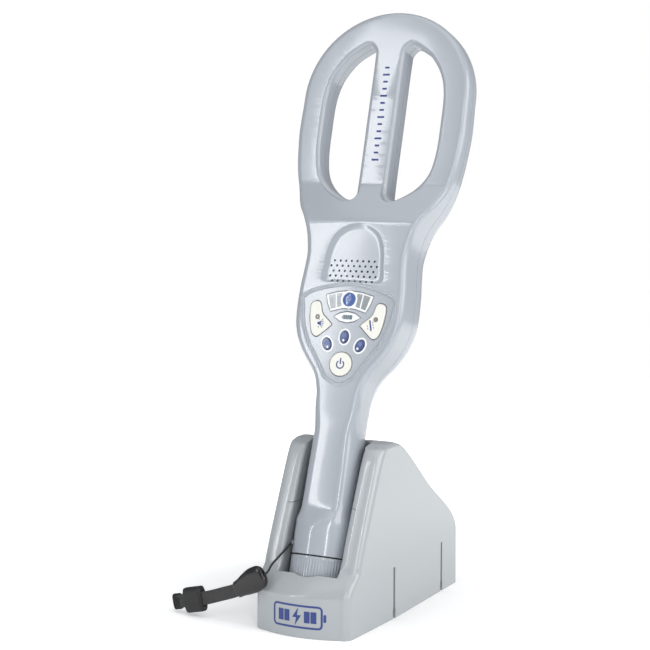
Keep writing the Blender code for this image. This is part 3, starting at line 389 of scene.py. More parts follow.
def open_curve(spots, steps):
    spots = [Vector(p) for p in spots]
    spots = [2 * spots[0] - spots[1]] + spots + [2 * spots[-1] - spots[-2]]
    line = []
    for i in range(1, len(spots) - 2):
        a, b, c, d = spots[i - 1:i + 3]
        for k in range(steps):
            t = k / steps
            line.append(0.5 * (2 * b + (c - a) * t + (2 * a - 5 * b + 4 * c - d) * t * t
                               + (3 * b - a - 3 * c + d) * t ** 3))
    return line + [spots[-2]]


def grow(loop, amount):
    count = len(loop)
    area = sum(loop[i].cross(loop[(i + 1) % count]) for i in range(count))
    turn = amount if area > 0 else -amount
    out = []
    for i in range(count):
        way = (loop[(i + 1) % count] - loop[i - 1]).normalized()
        out.append(loop[i] + Vector((way.y, -way.x)) * turn)
    return out


def plate(name, loop, levels, place=wand_place):
    """An outline in (x, z) carried along y, growing by the amount given at each level."""
    rings = [[Vector((p.x, y, p.y)) for p in grow(loop, more)] for y, more in levels]
    return skinned(name, rings, place)


# %% [markdown]
# The strap's thin cord comes before the big shapes. It is tied to an eye low on the handle's left side, hangs
# down over the cradle's lip and ends inside the black tab. A curve with a round section is the natural way
# to make it. Its finish is a tight braid: two sets of fine diagonal ridges, crossing.

# %% A braided finish for the cord
braid_black = moulded("braid_black", (0.012, 0.012, 0.013), 0.50, 0.2, 0.2, 0.1)
braid = braid_black.node_tree
spot = braid.nodes.new("ShaderNodeTexCoord").outputs["Object"]
turn = braid.nodes.new("ShaderNodeMapping")
turn.inputs["Rotation"].default_value = (0.6, 0.5, 0.8)
braid.links.new(spot, turn.inputs["Vector"])
ridges = []
for way in ("X", "Y"):
    wave = braid.nodes.new("ShaderNodeTexWave")
    wave.bands_direction = way
    wave.inputs["Scale"].default_value = 900.0
    braid.links.new(turn.outputs["Vector"], wave.inputs["Vector"])
    ridges.append(wave.outputs["Fac"])
weave = braid.nodes.new("ShaderNodeMath")
weave.operation = "MAXIMUM"
braid.links.new(ridges[0], weave.inputs[0])
braid.links.new(ridges[1], weave.inputs[1])
relief = next(node for node in braid.nodes if node.type == "BUMP")
relief.inputs["Strength"].default_value = 0.7
braid.links.new(weave.outputs["Value"], relief.inputs["Height"])


# %% The route of the strap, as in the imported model
def strap_line():
    x = -CRADLE_W / 2
    return [
        Vector((x - 0.0011, FRONT + 0.0035, 0.0327)), Vector((x - 0.0100, FRONT + 0.0048, 0.0271)),
        Vector((x - 0.0245, FRONT + 0.0080, 0.0215)), Vector((x - 0.0348, FRONT + 0.0108, 0.0176)),
        Vector((x - 0.0421, FRONT + 0.0129, 0.0151)), Vector((x - 0.0520, FRONT + 0.0150, 0.0124)),
        Vector((x - 0.0620, FRONT + 0.0171, 0.0097)), Vector((x - 0.0700, FRONT + 0.0188, 0.0076)),
    ]


def frame_at(point, ahead):
    """x runs along the strap, z across the band."""
    x = ahead.normalized()
    y = x.cross(Vector((0, 0, 1))).normalized() * -1
    z = x.cross(y).normalized()
    if z.z < 0:
        y, z = -y, -z
    return Matrix.Translation(point) @ Matrix((x, y, z)).transposed().to_4x4()


def length_of(line):
    return sum((b - a).length for a, b in zip(line, line[1:]))


band_marks = strap_line()
tab_place = frame_at(band_marks[0], band_marks[1] - band_marks[0])
eye = wand_place @ (Matrix.Rotation(math.radians(210), 4, "Z") @ Vector((CAP_R + 0.0014, 0.0, 0.029)))
cord_route = open_curve([
    eye, Vector((-0.0218, FRONT + 0.0237, 0.0563)), Vector((-0.0236, FRONT + 0.0170, 0.0523)),
    Vector((-0.0252, FRONT + 0.0095, 0.0480)), tab_place @ Vector((-0.0225, 0, 0)),
    tab_place @ Vector((-0.0180, 0, 0)), tab_place @ Vector((-0.0135, 0, 0))], 5)
print("cord length", round(length_of(cord_route), 4))

# %% The cord itself
wire = bpy.data.curves.new("strap_cord_braided", "CURVE")
wire.dimensions = "3D"
wire.bevel_depth = 0.0008
wire.bevel_resolution = 5
wire.use_fill_caps = True
line = wire.splines.new("POLY")
line.points.add(len(cord_route) - 1)
for mark, point in zip(line.points, cord_route):
    mark.co = (*point, 1.0)
strap_cord = bpy.data.objects.new("strap_cord_braided", wire)
bpy.context.scene.collection.objects.link(strap_cord)
wire.materials.append(braid_black)
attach(strap_cord, "wand")
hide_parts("strap_cord")

# %% [markdown]
# The wrist band is 10 mm webbing folded back on itself, standing on edge. Its weave follows the band, so each
# point of the mesh stores how far along and how far across the band it lies, and the finish reads those two
# numbers. Ribs run across the band and finer threads along it.


# %% A woven finish that follows the band
def woven(name, colour):
    finish = moulded(name, colour, 0.85, 0.3, 0.2, 0.15)
    tree = finish.node_tree
    steps = []
    for word, pitch in (("along", 0.00085), ("across", 0.00070)):
        read = tree.nodes.new("ShaderNodeAttribute")
        read.attribute_name = word
        scaled = tree.nodes.new("ShaderNodeMath")
        scaled.operation = "MULTIPLY"
        scaled.inputs[1].default_value = 2 * math.pi / pitch
        wave = tree.nodes.new("ShaderNodeMath")
        wave.operation = "SINE"
        tree.links.new(read.outputs["Fac"], scaled.inputs[0])
        tree.links.new(scaled.outputs["Value"], wave.inputs[0])
        steps.append(wave.outputs["Value"])
    cross = tree.nodes.new("ShaderNodeMath")
    cross.operation = "MULTIPLY"
    tree.links.new(steps[0], cross.inputs[0])
    tree.links.new(steps[1], cross.inputs[1])
    relief = next(node for node in tree.nodes if node.type == "BUMP")
    relief.inputs["Strength"].default_value = 0.9
    relief.inputs["Distance"].default_value = 0.00025
    tree.links.new(cross.outputs["Value"], relief.inputs["Height"])
    shader = tree.nodes["Principled BSDF"]
    # The weave's raised threads are painted lighter and its hollows darker: painted highlight and shade on
    # the relief.
    weave_light_shade = spread(tree, cross.outputs["Value"], 0.0, 1.0, -1.0, 1.0)
    tint = blend_colour(tree, weave_light_shade, shades(colour, 0.55), shades(colour, 1.9))
    tree.links.new(tint, shader.inputs["Base Color"])
    shader.inputs["Sheen Weight"].default_value = 0.25
    return finish


webbing_black = woven("webbing_black", (0.010, 0.010, 0.011))

# %% The folded band
band_line = open_curve(band_marks, 5)
WEB_W, WEB_T = 0.0098, 0.0011


def band_rings(line):
    """Sections of the folded band, all the way round its two layers and two noses."""
    out, inn, lift, run = [], [], [], []
    travelled = 0.0
    sides, ups = [], []
    for k, point in enumerate(line):
        ahead = (line[min(k + 1, len(line) - 1)] - line[max(k - 1, 0)]).normalized()
        side = ahead.cross(Vector((0, 0, 1))).normalized()
        sides.append(side)
        ups.append(side.cross(ahead).normalized())
    for order, sign in ((range(len(line)), 1), (range(len(line) - 1, -1, -1), -1)):
        last = None
        for k in order:
            travelled += (line[k] - last).length if last is not None else 0.0
            last = line[k]
            out.append(line[k] + sides[k] * sign * (0.0010 + WEB_T))
            inn.append(line[k] + sides[k] * sign * 0.0010)
            lift.append(ups[k])
            run.append(travelled)
        k = order[-1]
        way = (line[k] - line[k - 1]).normalized() if sign > 0 else (line[0] - line[1]).normalized()
        for turn_by in (0.28, 0.5, 0.72):
            a = math.pi * turn_by
            off = sides[k] * sign * math.cos(a)
            out.append(line[k] + off * (0.0010 + WEB_T) + way * math.sin(a) * (0.0010 + WEB_T))
            inn.append(line[k] + off * 0.0010 + way * math.sin(a) * 0.0010)
            lift.append(ups[k])
            run.append(travelled + turn_by * 0.004)
        travelled += 0.004
    return out, inn, lift, run


def make_band():
    out, inn, lift, run = band_rings(band_line)
    rings, marks = [], []
    half = WEB_W / 2
    for o, i, u, r in zip(out, inn, lift, run):
        middle, thick = (o + i) / 2, (o - i) / 2
        section = [(1, -half + 0.0003), (1, -0.25 * half), (1, 0.25 * half), (1, half - 0.0003), (0.5, half),
                   (-0.5, half), (-1, half - 0.0003), (-1, 0.0), (-1, -half + 0.0003), (-0.5, -half),
                   (0.5, -half)]
        rings.append([middle + thick * a + u * b for a, b in section])
        marks.append([(r, b) for _, b in section])
    bm = bmesh.new()
    along_mark = bm.verts.layers.float.new("along")
    across_mark = bm.verts.layers.float.new("across")
    verts, edges = first_ring(bm, rings[0], True)
    for vert, (r, b) in zip(verts, marks[0]):
        vert[along_mark], vert[across_mark] = r, b
    last_marks = [(run[-1] + 0.001, b) for _, b in marks[0]]
    for points, words in zip(rings[1:] + rings[:1], marks[1:] + [last_marks]):
        verts, edges = next_ring(bm, verts, edges, points)
        for vert, (r, b) in zip(verts, words):
            vert[along_mark], vert[across_mark] = r, b
    return piece_from(bm, "strap_band_woven")


strap_band = dress(make_band(), webbing_black, "wand", ["strap_webbing"], 40.0, False)
print("band length", round(length_of(band_line), 4))

# %% [markdown]
# The tab is a black teardrop moulded round the band's end, thick in the middle and thin at its rim. Rounded
# rectangles of changing size, set one after another along the strap, give it its pebble shape. The slider
# is a shorter block with a shoulder at each end, and the band passes through both.


# %% The tab, the slider and the ribbed end
def pebble(thick, tall, power, count=40):
    ring = []
    for k in range(count):
        t = 2 * math.pi * k / count
        c, s = math.cos(t), math.sin(t)
        ring.append((thick * math.copysign(abs(c) ** power, c), tall * math.copysign(abs(s) ** power, s)))
    return ring


def pebbles(name, rows, power, place, steps=36):
    thick_rows = [(row[0], row[1]) for row in rows]
    tall_rows = [(row[0], row[2]) for row in rows]
    low, high = rows[0][0], rows[-1][0]
    rings = []
    for k in range(steps + 1):
        u = 0.5 - 0.5 * math.cos(math.pi * k / steps)
        x = low + (high - low) * u
        ring = pebble(value_at(thick_rows, x), value_at(tall_rows, x), power)
        rings.append([Vector((x, a, b)) for a, b in ring])
    return skinned(name, rings, place)


tab_rows = [(-0.0190, 0.0016, 0.0024), (-0.0186, 0.0022, 0.0046), (-0.0175, 0.0029, 0.0066),
            (-0.0140, 0.0034, 0.0086), (-0.0080, 0.0037, 0.0092), (-0.0010, 0.0036, 0.0082),
            (0.0060, 0.0033, 0.0066), (0.0100, 0.0031, 0.0061), (0.0106, 0.0027, 0.0057)]
strap_tab = pebbles("strap_tab_moulded", tab_rows, 0.72, tab_place)
tab_room = block("room", (-0.0035, -0.0024, -0.0053), (0.020, 0.0024, 0.0053), tab_place)
drill = [(0, -0.030), (0.0011, -0.030), (0.0011, -0.0125), (0, -0.0125)]
tab_hole = lathed("drill", drill, 20, tab_place @ Matrix.Rotation(math.pi / 2, 4, "Y"))
carve(strap_tab, tab_room, tab_hole)
dress(strap_tab, gloss_black, "wand", ["strap_tab"], 38.0)

slider_place = frame_at(band_marks[-3], band_marks[-1] - band_marks[-2])
slider_rows = [(-0.0095, 0.0028, 0.0064), (-0.0091, 0.0033, 0.0072), (-0.0082, 0.0037, 0.0078),
               (-0.0079, 0.0041, 0.0092), (-0.0070, 0.0042, 0.0095), (0.0068, 0.0042, 0.0095),
               (0.0078, 0.0041, 0.0092), (0.0081, 0.0037, 0.0078), (0.0090, 0.0033, 0.0072),
               (0.0095, 0.0028, 0.0064)]
strap_slider = pebbles("strap_slider_moulded", slider_rows, 0.50, slider_place, 44)
carve(strap_slider, block("room", (-0.02, -0.0024, -0.0054), (0.02, 0.0024, 0.0054), slider_place))
dress(strap_slider, matt_black, "slider", ["strap_slider"], 38.0)

# %% The ribbed end of the band
end_place = frame_at(band_marks[-1], band_marks[-1] - band_marks[-2])
rib_tools = []
for k in range(3):
    rib_rows = [(-0.0038 + 0.0021 * k, 0.0024, 0.0052), (-0.0034 + 0.0021 * k, 0.0031, 0.0060),
                (-0.0027 + 0.0021 * k, 0.0031, 0.0060), (-0.0023 + 0.0021 * k, 0.0024, 0.0052)]
    rib_tools.append(pebbles("rib", rib_rows, 0.6, end_place, 8))
end_ribs = dress(together("strap_end_ribs", rib_tools), matt_black, "wand", (), 38.0)

# %% [markdown]
# The wand's form is one smooth body: a round collar, a handle with a flat front, a wide case for the
# electronics and a thin loop. Its half-width, front and back are curves along the axis, and each section is
# a box with elliptical corners. The sections climb one side, turn over the top of the loop and come down the
# other, so that the loop's round end keeps the same rim all the way. Sections closer together than a
# highlight is wide keep the gloss unbroken.


# %% Width, front and back of the wand
def stations(rows):
    return [(row[0] * 0.001, *row[1:]) for row in rows]


h, b, w = HANDLE_W / 2, BODY_W / 2, HEAD_W / 2
half_rows = stations([
    (22.3, CAP_R), (38, CAP_R), (46, h + 0.75 * (CAP_R - h)), (56, h + 0.3 * (CAP_R - h)),
    (80, h + 0.0006), (118, h - 0.0004), (138, h - 0.0004), (150, h + 0.07 * (b - h)),
    (158, h + 0.22 * (b - h)), (166, h + 0.47 * (b - h)), (174, h + 0.69 * (b - h)),
    (183, h + 0.86 * (b - h)), (194, b - 0.0007), (206, b), (220, b - 0.0004),
    (234, b - 0.0017), (245, b - 0.0024), (256, b - 0.0010), (266, b + 0.0016),
    (274, b + 0.20 * (w - b)), (284, b + 0.46 * (w - b)), (296, b + 0.67 * (w - b)),
    (310, b + 0.84 * (w - b)), (326, b + 0.94 * (w - b)), (348, w), (372, w - 0.0006)])
front_rows = stations([
    (22.3, -CAP_R), (40, -CAP_R), (46, -0.0207), (52, -0.0168), (58, -0.0147), (75, -0.0138),
    (100, -0.0132), (114, -0.0129), (126, FACE_Y), (270, FACE_Y),
    (276, FACE_Y + 0.0014), (286, FACE_Y + 0.0055), (296, FACE_Y + 0.0100),
    (304, HEAD_Y), (372, HEAD_Y)])
back_y, head_back = FACE_Y + BODY_T, HEAD_Y + HEAD_T
back_rows = stations([
    (22.3, CAP_R), (40, CAP_R), (56, HANDLE_BACK - 0.0003), (112, HANDLE_BACK),
    (130, HANDLE_BACK + 0.0015), (150, back_y - 0.0022), (168, back_y), (254, back_y),
    (274, back_y - 0.0017), (294, head_back + 0.0045), (312, head_back + 0.0008), (330, head_back),
    (372, head_back)])
c = CAP_R
corner_rows = stations([
    (22.3, c, c, c, c), (40, c, c, c, c), (50, h - 0.0065, 0.0175, h, 0.0210),
    (58, h - 0.0088, 0.0155, h, HANDLE_BACK - 0.004),
    (112, h - 0.0092, 0.0148, h, HANDLE_BACK - 0.004), (121, 0.0085, 0.0110, h, 0.0200),
    (132, 0.0062, 0.0070, h - 0.002, 0.0200), (150, 0.0052, 0.0055, 0.0160, 0.0190),
    (170, 0.0050, 0.0050, 0.0180, 0.0170), (200, 0.0050, 0.0050, 0.0150, 0.0150),
    (256, 0.0050, 0.0050, 0.0130, 0.0140), (280, 0.0050, 0.0050, 0.0100, 0.0100),
    (300, 0.0050, 0.0050, 0.0060, 0.0060), (314, 0.0050, 0.0050, 0.0050, 0.0050),
    (372, 0.0050, 0.0050, 0.0050, 0.0050)])
corner_rows = [[(row[0], row[k]) for row in corner_rows] for k in (1, 2, 3, 4)]


# %% One section, and the whole form
def half_section(half, front, back, corner, arc):
    rxf, ryf, rxb, ryb = corner
    rxf, rxb = min(rxf, half), min(rxb, half)
    room = (back - front) * 0.499
    ryf, ryb = min(ryf, room), min(ryb, (back - front) - min(ryf, room))
    points = [(0.0, front)]
    for k in range(arc + 1):
        a = math.pi / 2 * k / arc
        points.append((half - rxf + rxf * math.sin(a), front + ryf - ryf * math.cos(a)))
    for k in range(arc + 1):
        a = math.pi / 2 * k / arc
        points.append((half - rxb + rxb * math.cos(a), back - ryb + ryb * math.sin(a)))
    points.append((0.0, back))
    return points


def wand_form(name, inset, neck, arc, fan, step):
    radius, low, high = neck
    columns = []
    for s in (low, high):
        section = half_section(radius, -radius, radius, [radius] * 4, arc)
        columns.append([Vector((x, y, s)) for x, y in section])
    count = round((0.372 - 0.0223) / step)
    marks = [0.0223 + (0.372 - 0.0223) * k / count for k in range(count + 1)]
    marks = [high] + [s for s in marks if s > high + 0.0005]
    for s in marks:
        at = max(s, 0.0223)
        half = value_at(half_rows, at) - inset
        corner = [max(value_at(rows, at) - inset, 0.0008) for rows in corner_rows]
        section = half_section(half, value_at(front_rows, at) + inset,
                               value_at(back_rows, at) - inset, corner, arc)
        columns.append([Vector((x, y, s)) for x, y in section])
    centre, side = 0.372, HEAD_W / 2 - 0.0006
    corner = [0.005 - inset] * 4
    over = []
    for k in range(1, fan):
        a = math.pi * k / fan
        reach = side + (LENGTH - centre - side) * math.sin(a) ** 2 - inset
        section = half_section(reach, HEAD_Y + inset, HEAD_Y + HEAD_T - inset, corner, arc)
        over.append([Vector((x * math.cos(a), y, centre + x * math.sin(a))) for x, y in section])
    flank = [[Vector((-p.x, p.y, p.z)) for p in column] for column in reversed(columns)]
    bm = bmesh.new()
    skin(bm, columns + over + flank, closed=False, ends=False)
    bmesh.ops.remove_doubles(bm, verts=bm.verts, dist=1e-6)
    rim = [edge for edge in bm.edges if edge.is_boundary]
    bmesh.ops.holes_fill(bm, edges=rim, sides=0)
    return piece_from(bm, name)


# %% [markdown]
# The two D-shaped openings have softly rounded rims. The rounding is part of the tool that cuts them: its
# outline shrinks along a quarter circle as it goes in, so the opening and its rim come from one cut.


# %% Tools for the openings, the loudspeaker's dish and its grille
def rim_loop(side, steps=6):
    inner, outer = BAR_W / 2, HEAD_W / 2 - RIM_W
    rows = [
        (0.0, 400), (0.03, 411), (0.20, 417), (0.42, 413), (0.66, 405), (0.88, 391),
        (0.985, 374), (1.0, 350), (0.985, 328), (0.90, 311), (0.70, 299), (0.42, 291),
        (0.20, 288), (0.03, 293), (0.0, 304), (0.0, 352)]
    return closed_curve([(side * (inner + u * (outer - inner)), s * 0.001) for u, s in rows], steps)


def opening_tool(side, more, place=None, arc=7):
    low, high, r = HEAD_Y, HEAD_Y + HEAD_T, RIM_ROUND
    levels = [(FACE_Y - 0.002, 0.0006 + more)]
    for k in range(arc + 1):
        a = math.pi / 2 * k / arc
        levels.append((low + r * (1 - math.cos(a)), more + 0.0002 - r * math.sin(a)))
    for k in range(arc, -1, -1):
        a = math.pi / 2 * k / arc
        levels.append((high - r * (1 - math.cos(a)), more + 0.0002 - r * math.sin(a)))
    levels.append((high + 0.012, more + 0.0006))
    return plate("opening", rim_loop(side), levels, place)


def dish_tool():
    rows = [(0, 270), (10, 268), (19, 261), (23.5, 250), (25, 238), (25, 224.5), (12, 223.8), (0, 223.8)]
    right = [(x * 0.001, s * 0.001) for x, s in rows]
    loop = closed_curve(right + [(-x, s) for x, s in right[-2:0:-1]], 6)
    centre = Vector((0.0, 0.2440))
    rings = []
    for y, size in ((-0.0010, 1.040), (0.0, 1.000), (0.0003, 0.955), (0.0007, 0.905), (0.0009, 0.860),
                    (0.00095, 0.780)):
        rings.append([Vector((p.x * size, FACE_Y + y, centre.y + (p.y - centre.y) * size)) for p in loop])
    return skinned("dish", rings)


def grille_tools():
    holes = []
    for row in range(5):
        s = 0.2408 - 0.0039 * row
        count = 8 if row % 2 == 0 else 9
        for k in range(count):
            x = (k - (count - 1) / 2) * 0.00469
            place = (Matrix.Translation((x, 0, s)) @ Matrix.Rotation(math.pi / 2, 4, "X")
                     @ Matrix.Rotation(0.05 + 0.29 * (k + 3 * row), 4, "Z"))
            drill = [(0, 0.0080), (0.0009, 0.0080), (0.0009, 0.0160), (0, 0.0160)]
            holes.append(lathed("hole", drill, 16, place))
    return holes


# %% [markdown]
# The keypad lies in a shallow shield-shaped recess, and each key moves in an opening a little wider than
# itself. A key is a plate with a rounded crown and a flange below that keeps it in. The same outline grown
# by the running gap cuts its opening, so key and opening always fit.


# %% Outlines of the panel, its keys and its windows
def mirrored(rows, steps):
    right = [(x * 0.001, s * 0.001) for x, s in rows]
    return closed_curve(right + [(-x, s) for x, s in right[-2:0:-1]], steps)


def shield_loop(steps=6):
    return mirrored([(0, 221.6), (16, 219.6), (30, 215.8), (37, 211.5), (36.2, 206), (34.4, 194),
                     (28.5, 180), (21.5, 170), (14, 159), (9.5, 152.8), (0, 149.0)], steps)


def oval(x, s, half_w, half_h, turn=0.0, count=44):
    loop = []
    for k in range(count):
        a = 2 * math.pi * k / count
        px, pz = half_w * math.cos(a), half_h * math.sin(a)
        loop.append(Vector((x * 0.001 + px * math.cos(turn) - pz * math.sin(turn),
                            s * 0.001 + px * math.sin(turn) + pz * math.cos(turn))))
    return loop


def kite_loop(side, steps=7):
    rows = [(30.6, 206.5), (26.5, 209.2), (23.2, 207.6), (20.5, 200), (12.4, 192.6), (13.6, 190.4),
            (21.2, 183.8), (24.4, 182.9), (27.6, 186), (30.2, 196)]
    return closed_curve([(side * x * 0.001, s * 0.001) for x, s in rows], steps)


def display_loop():
    rows = [(-19.2, 214.4), (-9.5, 216.9), (0, 217.8), (9.5, 216.9), (19.2, 214.4), (17.6, 208.6),
            (14.4, 202.2), (6, 204.6), (0, 205.2), (-6, 204.6), (-14.4, 202.2), (-17.6, 208.6)]
    return [Vector((x * 0.001, s * 0.001)) for x, s in rows]


def eyelid_loop():
    rows = [(-10.7, 198.2), (-6, 200.9), (0, 202.0), (6, 200.9), (10.7, 198.2), (6, 195.4), (0, 194.2),
            (-6, 195.4)]
    return [Vector((x * 0.001, s * 0.001)) for x, s in rows]


FLOOR_Y = FACE_Y + PANEL_DEPTH
key_outlines = {
    "power_button": oval(0, 162.8, 0.0088, 0.0088, 0.0, 64),
    "level_key_centre": oval(0, 183.2, 0.0034, 0.0047),
    "level_key_left": oval(-13.5, 177.3, 0.0034, 0.0047, 0.45),
    "level_key_right": oval(13.5, 177.3, 0.0034, 0.0047, -0.45),
    "function_key_left": kite_loop(-1),
    "function_key_right": kite_loop(1),
}
window_outlines = {"display_window": display_loop(), "battery_lens": eyelid_loop()}


# %% Tools for the keypad
def keypad_tools():
    recess = plate("recess", shield_loop(), [
        (FACE_Y - 0.003, 0.0022), (FACE_Y - 0.00001, 0.0010), (FACE_Y + 0.0001, 0.0006),
        (FACE_Y + 0.0004, 0.0002), (FLOOR_Y, 0.0)], None)
    tools = []
    for outline in key_outlines.values():
        levels = [(FACE_Y - 0.004, KEY_GAP), (FACE_Y + WALL + 0.002, KEY_GAP)]
        tools.append(plate("way", outline, levels, None))
    for outline in window_outlines.values():
        levels = [(FACE_Y - 0.004, KEY_GAP), (FLOOR_Y + 0.0005 + KEY_GAP, KEY_GAP)]
        tools.append(plate("pocket", outline, levels, None))
    return recess, tools


# %% [markdown]
# Both shells come from the same form: each is the form less its inside and less the other half, so the seam
# line between them runs level round the whole wand. The four screw posts aren't seen and stay out.

# %% Make the two shells
def wand_shell(name, front):
    shell = wand_form(name, 0.0, (CAP_R - 0.0037, 0.0070, COLLAR_Z), 8, 44, 0.0030)
    inside = wand_form("inside", WALL, (CAP_R - 0.0062, 0.0060, COLLAR_Z + 0.0022), 3, 20, 0.0080)
    carve(inside, together("sleeves", [opening_tool(side, WALL, None, 3) for side in (-1, 1)]))
    if front:
        half = block("half", (-0.1, SPLIT_Y - GAP / 2, -0.01), (0.1, 0.1, 0.6))
    else:
        half = block("half", (-0.1, -0.1, -0.01), (0.1, SPLIT_Y + GAP / 2, 0.6))
    openings = together("openings", [opening_tool(side, 0.0) for side in (-1, 1)])
    carve(shell, inside, openings, half)
    if front:
        recess, ways = keypad_tools()
        carve(shell, together("recesses", [dish_tool(), recess]))
        carve(shell, together("ways", ways))
        carve(shell, together("grille", grille_tools()))
    else:
        sinks = []
        for x, s in ((-0.026, 0.224), (0.026, 0.224), (-0.026, 0.260), (0.026, 0.260)):
            turn = Matrix.Translation((x, 0, s)) @ Matrix.Rotation(-math.pi / 2, 4, "X")
            sink = [(0, back_y - 0.006), (0.0015, back_y - 0.006), (0.0015, back_y - 0.0010),
                    (0.0030, back_y - 0.0010), (0.0033, back_y + 0.0002), (0.0033, back_y + 0.002),
                    (0, back_y + 0.002)]
            sinks.append(lathed("sink", sink, 28, turn))
        carve(shell, together("sinks", sinks))
    shell.data.transform(wand_place)
    print(name, len(shell.data.polygons), "faces")
    return shell


dress(wand_shell("front_shell_moulded", True), shell_grey, "wand", ["front_shell"])
dress(wand_shell("rear_shell_moulded", False), shell_grey, "wand", ["rear_shell"])

# %% [markdown]
# A soft bead follows the edge of the keypad, with a second one farther out. On the real object these are part
# of the shell. Here each is a thin ring half sunk in the face, because a sunken ring meets the face in the
# same line as a moulded bead, and its round top catches the light as the real one does.


# %% Beads round the keypad
def ring_along(bm, loop, level, radius, flat, sides=10):
    """A round ring along an outline in (x, z), flattened towards the face by the amount given."""
    rings = []
    count = len(loop)
    for i in range(count):
        way = (loop[(i + 1) % count] - loop[i - 1]).normalized()
        out = Vector((way.y, 0.0, -way.x))
        middle = Vector((loop[i].x, level, loop[i].y))
        ring = []
        for k in range(sides):
            a = 2 * math.pi * k / sides
            ring.append(middle + out * radius * math.cos(a) + Vector((0, radius * flat * math.sin(a), 0)))
        rings.append(ring)
    skin(bm, rings + [rings[0]], ends=False)


def bead(name, loop, level, radius, flat, finish, body):
    bm = bmesh.new()
    ring_along(bm, loop, level, radius, flat)
    return dress(piece_from(bm, name, wand_place), finish, body, (), 60.0, False)


bead("panel_inner_bead", grow(shield_loop(), 0.0012), FACE_Y + 0.00016, 0.0008, 0.62, shell_grey, "wand")
bead("panel_outer_bead", grow(shield_loop(), 0.0026), FACE_Y + 0.00018, 0.0007, 0.55, shell_grey, "wand")

# %% [markdown]
# Every key has a crown whose edge is rounded over about half a millimetre. The two cream side keys have a
# round hole for their lamp. A window is glued in a pocket, so it has no flange.


# %% Keys
def key_piece(name, outline):
    crown, wall = FLOOR_Y - KEY_PROUD, FACE_Y + WALL
    levels = []
    for k in range(5):
        a = math.pi / 2 * k / 4
        levels.append((crown + 0.0006 * (1 - math.cos(a)), -0.0006 + 0.0006 * math.sin(a)))
    levels += [(wall + 0.0009, 0.0), (wall + 0.00095, 0.0008), (wall + 0.0017, 0.0008),
               (wall + 0.00175, -0.0010), (wall + 0.0028, -0.0010)]
    return plate(name, outline, levels, None)


key_finishes = {
    "power_button": (key_cream, "power_key", "keys"),
    "level_key_centre": (key_navy, "level_centre", "level_keys"),
    "level_key_left": (key_navy, "level_left", "level_keys"),
    "level_key_right": (key_navy, "level_right", "level_keys"),
    "function_key_left": (key_cream, "left_key", "keys"),
    "function_key_right": (key_cream, "right_key", "keys"),
}
for node, (finish, body, slot) in key_finishes.items():
    key = key_piece(node + "_moulded", key_outlines[node])
    if node.startswith("function"):
        side = -1 if node.endswith("left") else 1
        lamp = oval(side * 24.0, 197.2, 0.0016, 0.0016, 0.0, 28)
        carve(key, plate("lamp_way", lamp, [(FACE_Y - 0.004, KEY_GAP), (0.0, KEY_GAP)], None))
    key.data.transform(wand_place)
    dress(key, finish, body, [node], 40.0)
print(len(key_finishes), "keys")

# %% Windows, the alarm lens and the lamps
display = plate("display_window_moulded", display_loop(), [
    (FLOOR_Y - 0.0004, -0.0003), (FLOOR_Y - 0.0003, -0.0001), (FLOOR_Y - 0.0001, 0.0),
    (FLOOR_Y + 0.0005, 0.0)],
    None)
alarm = oval(0, 211.4, 0.0050, 0.0050, 0.0, 56)
carve(display, plate("lens_way", alarm, [(FACE_Y - 0.004, KEY_GAP), (0.0, KEY_GAP)], None))
display.data.transform(wand_place)
dress(display, ring_white, "wand", ["display_window"], 40.0)
dome = [(FLOOR_Y - 0.0011, -0.0030), (FLOOR_Y - 0.00105, -0.0020), (FLOOR_Y - 0.00095, -0.0011),
        (FLOOR_Y - 0.0008, -0.0004), (FLOOR_Y - 0.0005, 0.0), (FLOOR_Y + 0.0005, 0.0)]
dress(plate("alarm_lens_domed", alarm, dome), lens_blue, "wand", ["alarm_lens"], 50.0)
battery_eye = plate("battery_lens_moulded", eyelid_loop(), [
    (FLOOR_Y - 0.0004, -0.0003), (FLOOR_Y - 0.0003, -0.0001), (FLOOR_Y - 0.0001, 0.0),
    (FLOOR_Y + 0.0005, 0.0)])
dress(battery_eye, ring_white, "wand", ["battery_lens"], 40.0)
for side, word, body in ((-1, "left", "left_key"), (1, "right", "right_key")):
    top = FLOOR_Y - KEY_PROUD
    lamp = oval(side * 24.0, 197.2, 0.0016, 0.0016, 0.0, 28)
    levels = [(top - 0.0001, -0.0009), (top - 0.00005, -0.0005), (top + 0.0001, -0.0001), (top + 0.0003, 0.0),
              (FACE_Y + WALL + 0.0026, 0.0)]
    home = frame["record"]["behaviour"]["bodies"]
    body = next(name for name, members in home.items() if "led_" + word in members)
    dress(plate("lamp_%s_domed" % word, lamp, levels), led_brown, body, ["led_" + word], 50.0)

# %% [markdown]
# The marks on the keypad are printed. Ink has a thickness, if a tiny one, so each mark is its own thin
# plate a few hundredths of a millimetre proud of what it is printed on, and it moves with its key. The marks
# are plain signs: an on-off sign, a loudspeaker with rays, a slanted bar, a battery and a warning triangle.


# %% Thin printed shapes
def mark_on(bm, loop, level, proud=0.00005, deep=0.0002):
    rings = [[Vector((p.x, y, p.y)) for p in loop] for y in (level + deep, level - proud)]
    skin(bm, rings)


def hoop_on(bm, loop, width, level, proud=0.00005, deep=0.0002):
    """A line of the given width along a closed outline."""
    wide, slim = grow(loop, width / 2), grow(loop, -width / 2)
    rings = []
    for o, i in zip(wide, slim):
        rings.append([Vector((o.x, level + deep, o.y)), Vector((o.x, level - proud, o.y)),
                      Vector((i.x, level - proud, i.y)), Vector((i.x, level + deep, i.y))])
    skin(bm, rings + [rings[0]], ends=False)


